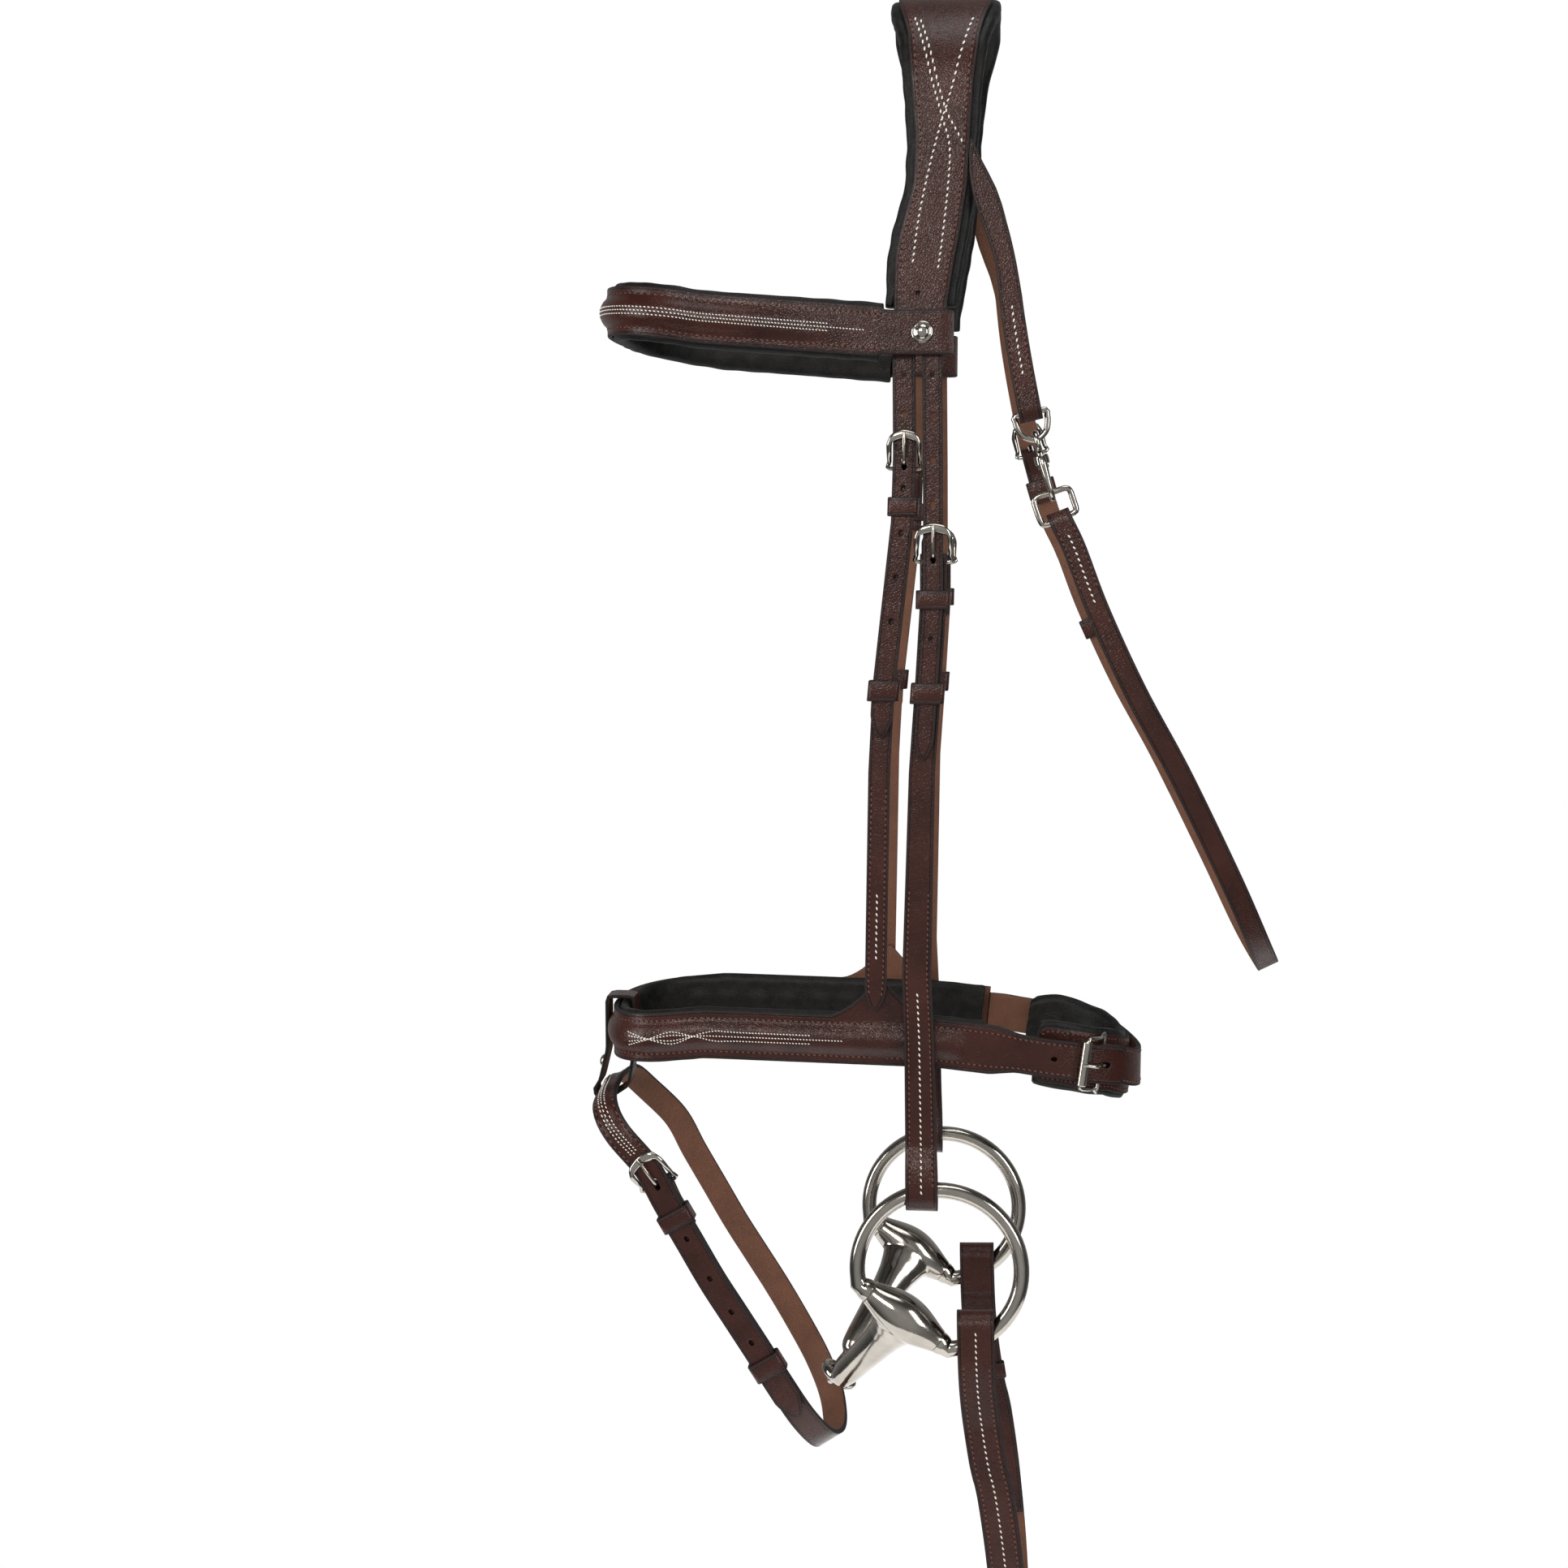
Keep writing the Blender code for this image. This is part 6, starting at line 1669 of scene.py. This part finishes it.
def lay_bit(side, prefix):
    """One side of the snaffle: its ring, and the cast arm whose barrel turns on the ring's pin."""
    at_y = np.array([0.0, side * RING_Y, 0.0])
    turn = 360.0 + BARREL_TO
    count = 60
    points = [ring_point(turn + (BARREL_FROM + 360 - turn) * k / count) + at_y for k in range(count + 1)]
    across = float(np.linalg.norm(BARREL_B - BARREL_A))
    places = [(1.5, SHOULDER - 0.9), (3.0, SHOULDER - 0.3), (4.4, SHOULDER), (SHOULDER_END, SHOULDER),
              (SHOULDER_END + 0.02, PIN)]
    places += [(across / 2, PIN), *[(across - run, radius) for run, radius in reversed(places)]]
    pin = [BARREL_A + BARREL_WAY * run + at_y for run, _ in places]
    # The wire is thicker where it enters the barrel, and a little slimmer elsewhere, which clears the rein
    wire = [RING_WIRE + (RING_SOCKET if k in (0, count) else -RING_SLIMMER) for k in range(count + 1)]
    ring = swept(prefix + "_ring_looks", [*points, *pin], [*wire, *[r for _, r in places]])
    settle(ring, "bit_rings", prefix + "_ring", slot="steel")
    half = across / 2 - SHOULDER_END - JOINT_GAP
    root = BARREL_MID + at_y
    swell = [(SHOULDER + 0.5 + (BARREL_MIDDLE - SHOULDER - 0.5) * math.cos(math.pi / 2 * k / 14) ** 1.15, half * k / 14)
             for k in range(-14, 15)]
    profile = [(0.05, -half - 7), (SHOULDER + 0.4, -half - 7), *swell, (SHOULDER + 0.4, half + 7), (0.05, half + 7)]
    barrel = turned_piece(prefix + "_barrel", root, BARREL_WAY, profile, 40)
    apart = EYE_RADIUS - EYE_WIRE - EYE_SLACK / 2
    eye = BARREL_MID + MOUTH_WAY * MOUTH_DROP + np.array([0, side * apart, 0])
    target = eye + np.array([0, side * EYE_RADIUS, 0]) if side < 0 else eye + unit(root - eye) * EYE_RADIUS
    way = unit(target - root)
    reach = float(np.linalg.norm(target - root))
    arm = turned_piece(prefix + "_cannon", root, way,
                       [(0.05, 3.0), (9.9, 3.0), (9.6, 7), (9.1, 11), (8.6, 17), (8.2, 26), (7.7, 36), (7.1, 46),
                        (6.7, reach - 12), (6.3, reach - 8.0), (5.9, reach - 5.0), (4.9, reach - 2.4),
                        (3.2, reach - 0.6), (0.05, reach)], 32)
    rows = mesh_points(arm) / MM
    run = np.sum((rows - root) * MOUTH_WAY, axis=1)
    flare = 0.42 * np.clip(1.0 - (run - 4.0) / 17.0, 0.0, 1.0) ** 1.6
    set_points(arm, (rows + np.outer(np.sum((rows - root) * BARREL_WAY, axis=1) * flare, BARREL_WAY)) * MM)
    other = BARREL_WAY if side < 0 else MOUTH_WAY
    loop = wire_piece(prefix + "_eye", [eye + np.array([0, side * EYE_RADIUS * math.cos(a), 0])
                                        + other * (EYE_RADIUS * math.sin(a))
                                        for a in (math.pi * k / 16 for k in range(32))], EYE_WIRE + 0.25)
    cast = joined(prefix + "_arm_looks", [barrel, arm, loop])
    apply_modifier(cast, "REMESH", mode="VOXEL", voxel_size=0.0004)
    apply_modifier(cast, "SMOOTH", factor=0.5, iterations=22)
    bore = turned_piece(prefix + "_bore", root, BARREL_WAY,
                        [(0.05, -half - 12), (9, -half - 12), (9, -half), (PIN + PIN_GAP, -half),
                         (PIN + PIN_GAP, half), (9, half), (9, half + 12), (0.05, half + 12)], 40)
    cut_away(cast, bore)
    wear(cast, steel())
    select_only(cast)
    bpy.ops.object.shade_smooth_by_angle(angle=math.radians(50))
    settle(cast, prefix + "_arm", prefix + "_arm", slot="steel")


def swept(name, points, radii, sides=24):
    """A closed round bar through points, whose radius changes along it."""
    points = np.array(points)
    along = unit(np.roll(points, -1, axis=0) - np.roll(points, 1, axis=0))
    across = np.array([0.0, 1.0, 0.0])
    up = np.cross(along, across)
    angles = 2 * math.pi * np.arange(sides) / sides
    radii = np.array(radii)[:, None, None]
    rows = (points[:, None] + radii * (np.cos(angles)[None, :, None] * across
                                       + np.sin(angles)[None, :, None] * up[:, None]))
    count = len(points)
    faces = [(i * sides + k, i * sides + (k + 1) % sides, (i + 1) % count * sides + (k + 1) % sides,
              (i + 1) % count * sides + k) for i in range(count) for k in range(sides)]
    return mesh_piece(name, rows.reshape(-1, 3) * MM, faces, steel(), 60.0)


# ---------------------------------------------------------------- reins

REIN_TOP = 600.0
REIN_RETURN_END = 742.0
FOLD_LOW = 985.0
FOLD_HIGH = 775.0
FOLDS = 4
FOLD_STEP = 6.6
REIN_SPREAD = 5.55
REIN_END_BEND = 8.0
REIN_BAR = 6.0
REIN_PAST = 14.0
REIN_KEEPER = 662.0
REIN_SEWN_T = -3.0
TIE_DEPTH = 890.0
TIE_LENGTH = 12.0
REIN_LINE = [(18.8, -590), (20.7, -637), (25.5, -672), (29.3, -688), (34.6, -725), (39.0, -775), (42, -850),
             (43, -920), (43, -1040)]


def rein_strand(side):
    return Strand(smooth_line([(x, side * RING_Y, z) for x, z in REIN_LINE], 5.0), lambda p: (1, 0, 0), (0, side, 0))


def rein_courses(side):
    """A rein's sewn return, and its own line: round the bit ring, down, and folded in a hank."""
    strand = rein_strand(side)
    s_at = strand.at_depth
    top = s_at(REIN_TOP)
    back = [(s_at(REIN_RETURN_END), REIN_SEWN_T), (s_at(655), REIN_SEWN_T), (s_at(624) + 0.1, -REIN_SPREAD)]
    path = [(s_at(624), -REIN_SPREAD), *arc(top + REIN_SPREAD, 0.0, -REIN_SPREAD, REIN_SPREAD, -90, 7.5, 25)]
    path += [(s_at(624), REIN_SPREAD), (s_at(655), 1.5), (s_at(750), 0.0)]
    low, high, half = s_at(FOLD_LOW), s_at(FOLD_HIGH), FOLD_STEP / 2
    for fold in range(FOLDS):
        end, bulge = (low, 1) if fold % 2 == 0 else (high, -1)
        path += arc(end, -FOLD_STEP * fold - half, bulge * half, half, 90, -15, 13)
    last = -FOLD_STEP * FOLDS
    foot = low + half + (0.0 if side < 0 else LEATHER + GAP)
    path += arc(foot - REIN_END_BEND, last - REIN_END_BEND, REIN_END_BEND, REIN_END_BEND, 90, -15, 7)
    if side > 0:
        path.append((foot, -(RING_Y + REIN_PAST)))
    else:
        bar = REIN_BAR - RING_Y
        path += [(foot, bar + TURN + 4.0), *arc(foot - TURN, bar, TURN, -TURN, 0, 15, 13), (foot - 2 * TURN, bar + 9.5)]
    return Course(strand, back, way=1.0), Course(strand, path)


def lay_rein(side, prefix, with_pieces):
    """A rein with its stitching, declared with its whole length."""
    back, course = rein_courses(side)
    strand, s_at, edge = course.strand, course.strand.at_depth, even(REIN_HALF)
    sewn_end = settle(flat_strap(prefix + "_rein_sewn_end", back, edge, 8), "reins")
    near_end = course.length - (9.5 + TURN * math.pi / 2 if side < 0 else REIN_PAST + REIN_BAR)
    piece = flat_strap(prefix + "_rein_leather", course, edge, 8, holes=[(near_end, 0.0, 5.0, TONGUE_RADIUS)])
    settle(piece, "reins", prefix + "_rein")
    if side > 0:
        start, clear = s_at(REIN_KEEPER), LEATHER / 2 + GAP
        loop = keeper_loop("off_rein_keeper", strand, start, start + KEEPER_LENGTH, zero, REIN_HALF, "reins",
                           inside=REIN_SEWN_T - clear, outside=REIN_SEWN_T + clear, wall=1.1)
        with_pieces = [*with_pieces, loop]
    white_stitches(prefix + "_rein_fancy_stitching", course, [run_line(s_at(607.4), s_at(770.0), 0.0)], "reins")
    edge_stitches(prefix + "_rein_edge_stitching", course, edge, s_at(624), s_at(744), "reins", inset=2.7)
    route = course.place(np.linspace(0.0, course.length, 300), 0.0, 0.0) * MM
    exit_at = tuple(float(c) for c in strand.place(s_at(REIN_TOP), 0.0, 0.0) * MM)


def lay_reins():
    """Both reins, the buckle that joins their ends and the loop round the folded length."""
    strand = rein_strand(-1)
    low = strand.at_depth(FOLD_LOW) + FOLD_STEP / 2
    foot = strand.place(low, 0.0, 0.0)
    end = Strand([foot + np.array([0, y + RING_Y, MAIN_T]) for y in (-40, 0, 40)], lambda p: (1, 0, 0), (0, 0, -1),
                 40.0)
    buckle("rein", end, -REIN_BAR, -1, zero, REIN_HALF, "reins", "rein_tongue")
    top = strand.at_depth(TIE_DEPTH)
    clear = LEATHER / 2 + GAP
    keeper_loop("rein_tie_leather", strand, top, top + TIE_LENGTH, zero, REIN_HALF, "reins",
                inside=-2 * RING_Y - clear, outside=clear, solid="rein_tie")
    parts = [bpy.data.objects[name] for name in ("rein_buckle_looks", "rein_tongue_looks", "rein_tie_leather")]
    lay_rein(-1, "near", parts)
    lay_rein(1, "off", [])


# ---------------------------------------------------------------- stage

CAMERA_PLACE = (0.0226, -1.003, -0.252)
CAMERA_TURN = (84.09, 0.0, 5.62)
CAMERA_LENS = 47.87


def set_stage():
    """Camera at the photograph's angle, white surroundings, a pale floor and soft studio lamps."""
    scene = bpy.context.scene
    scene.view_settings.view_transform = "Standard"
    bpy.ops.object.camera_add(location=CAMERA_PLACE, rotation=[math.radians(turn) for turn in CAMERA_TURN])
    camera = bpy.context.object
    camera.data.lens = CAMERA_LENS
    camera.data.sensor_width = 36.0
    camera.data.clip_start = 0.01
    scene.camera = camera
    deselect()
    bpy.ops.mesh.primitive_circle_add(vertices=96, radius=0.62, fill_type="NGON", location=(0, 0.1, -1.02))
    floor = bpy.context.object
    floor.name = "studio_floor"
    bpy.ops.object.transform_apply(location=True)
    wear(floor, floor_paint())
    add_world(scene)
    for name, place, aim, size, power, tint in LAMPS:
        bpy.ops.object.light_add(type="AREA", location=place)
        lamp = bpy.context.object
        lamp.name = name
        lamp.data.shape = "RECTANGLE"
        lamp.data.size, lamp.data.size_y = size
        lamp.data.energy = power
        lamp.data.color = tint
        lamp.rotation_euler = (Vector(aim) - Vector(place)).to_track_quat("-Z", "Y").to_euler()


LAMPS = (
    ("key_softbox", (-0.45, -1.75, 0.42), (0, 0, -0.3), (0.5, 0.4), 10.0, (1.0, 0.95, 0.90)),
    ("fill_softbox", (1.5, -1.2, 0.1), (0, 0, -0.45), (0.5, 1.3), 12.0, (1.0, 1.0, 1.0)),
    ("top_softbox", (0.2, -0.3, 1.3), (0, 0, -0.3), (1.0, 0.8), 7.0, (1.0, 1.0, 1.0)),
    ("side_softbox", (-1.6, -0.7, -0.2), (0, 0, -0.4), (0.5, 1.3), 12.0, (1.0, 1.0, 1.0)),
)


def add_world(scene):
    """White to the camera; polished steel sees a lit front, dark sides and a softer back."""
    world = bpy.data.worlds.new("studio")
    world.use_nodes = True
    scene.world = world
    tree = world.node_tree
    back = tree.nodes["Background"]
    rays = node(tree, "ShaderNodeLightPath")
    way = node(tree, "ShaderNodeSeparateXYZ")
    link(tree, node(tree, "ShaderNodeTexCoord").outputs["Generated"], way.inputs[0])
    front = ramp(tree, way.outputs[1], -0.9, -0.45, 0.42, 0.07)
    seen = sums(tree, "ADD", front, ramp(tree, way.outputs[1], 0.2, 0.9, 0.0, 0.25))
    mirror = sums(tree, "MAXIMUM", rays.outputs["Is Glossy Ray"], rays.outputs["Is Transmission Ray"])
    other = sums(tree, "ADD", sums(tree, "MULTIPLY", mirror, seen),
                 sums(tree, "MULTIPLY", sums(tree, "SUBTRACT", 1.0, mirror), 0.55))
    level = sums(tree, "MAXIMUM", rays.outputs["Is Camera Ray"], other)
    back.inputs["Color"].default_value = (1.0, 1.0, 1.0, 1.0)
    link(tree, level, back.inputs["Strength"])


# ---------------------------------------------------------------- the add-on

class BRIDLE_OT_stage(bpy.types.Operator):
    """Camera, surroundings, floor and lamps."""
    bl_idname = "bridle.stage"
    bl_label = "Set the stage"

    def execute(self, context):
        set_stage()
        return {"FINISHED"}


class BRIDLE_OT_reins(bpy.types.Operator):
    """Both reins with their buckle and the loop round their folded length."""
    bl_idname = "bridle.reins"
    bl_label = "Lay the reins"

    def execute(self, context):
        lay_reins()
        return {"FINISHED"}


class BRIDLE_OT_crown(bpy.types.Operator):
    """The crown, its billets, the sliphead and their padding."""
    bl_idname = "bridle.crown"
    bl_label = "Lay the headpiece"

    def execute(self, context):
        lay_crown()
        lay_crown_lining()
        return {"FINISHED"}


class BRIDLE_OT_cheekpieces(bpy.types.Operator):
    """Both cheekpieces with their buckles, keepers and runners."""
    bl_idname = "bridle.cheekpieces"
    bl_label = "Lay the cheekpieces"

    def execute(self, context):
        for side, prefix in SIDES:
            lay_cheek(side, prefix)
        return {"FINISHED"}


class BRIDLE_OT_hangers(bpy.types.Operator):
    """Both noseband hangers with their buckles, keepers and runners."""
    bl_idname = "bridle.hangers"
    bl_label = "Lay the hangers"

    def execute(self, context):
        for side, prefix in SIDES:
            lay_hanger(side, prefix)
        return {"FINISHED"}


class BRIDLE_OT_browband(bpy.types.Operator):
    """The browband with its stitching, padding and press studs."""
    bl_idname = "bridle.browband"
    bl_label = "Lay the browband"

    def execute(self, context):
        lay_browband()
        return {"FINISHED"}


class BRIDLE_OT_noseband(bpy.types.Operator):
    """The noseband and its padding."""
    bl_idname = "bridle.noseband"
    bl_label = "Lay the noseband"

    def execute(self, context):
        lay_noseband()
        return {"FINISHED"}


class BRIDLE_OT_chin(bpy.types.Operator):
    """The chin strap, its roller buckle and its guard."""
    bl_idname = "bridle.chin"
    bl_label = "Lay the chin strap"

    def execute(self, context):
        lay_chin()
        return {"FINISHED"}


class BRIDLE_OT_flash(bpy.types.Operator):
    """The flash strap, its buckle and the band that carries it."""
    bl_idname = "bridle.flash"
    bl_label = "Lay the flash strap"

    def execute(self, context):
        lay_flash()
        return {"FINISHED"}


class BRIDLE_OT_throat(bpy.types.Operator):
    """The throatlatch with its rings, snap and buckle."""
    bl_idname = "bridle.throat"
    bl_label = "Lay the throatlatch"

    def execute(self, context):
        lay_throat()
        return {"FINISHED"}


class BRIDLE_OT_bit(bpy.types.Operator):
    """Both rings and both arms of the snaffle."""
    bl_idname = "bridle.bit"
    bl_label = "Cast the bit"

    def execute(self, context):
        for side, prefix in SIDES:
            lay_bit(side, prefix)
        return {"FINISHED"}


STEPS = (BRIDLE_OT_stage,
         BRIDLE_OT_reins,
         BRIDLE_OT_crown,
         BRIDLE_OT_cheekpieces,
         BRIDLE_OT_hangers,
         BRIDLE_OT_browband,
         BRIDLE_OT_noseband,
         BRIDLE_OT_chin,
         BRIDLE_OT_flash,
         BRIDLE_OT_throat,
         BRIDLE_OT_bit)


class BRIDLE_PT_looks(bpy.types.Panel):
    """Lists the bridle's steps and its colours and sizes."""
    bl_label = "Bridle"
    bl_idname = "BRIDLE_PT_looks"
    bl_space_type = "VIEW_3D"
    bl_region_type = "UI"
    bl_category = "Bridle"

    def draw(self, context):
        for step in STEPS:
            self.layout.operator(step.bl_idname)
        for name in BridleLooks.__annotations__:
            self.layout.prop(context.scene.bridle_looks, name)


CLASSES = (BridleLooks, *STEPS, BRIDLE_PT_looks)


def register():
    for made in CLASSES:
        bpy.utils.register_class(made)
    bpy.types.Scene.bridle_looks = bpy.props.PointerProperty(type=BridleLooks)


def unregister():
    del bpy.types.Scene.bridle_looks
    for made in reversed(CLASSES):
        bpy.utils.unregister_class(made)


def main():
    register()
    for step in STEPS:
        group, name = step.bl_idname.split(".")
        getattr(getattr(bpy.ops, group), name)()
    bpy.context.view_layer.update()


if __name__ == "__main__":
    main()
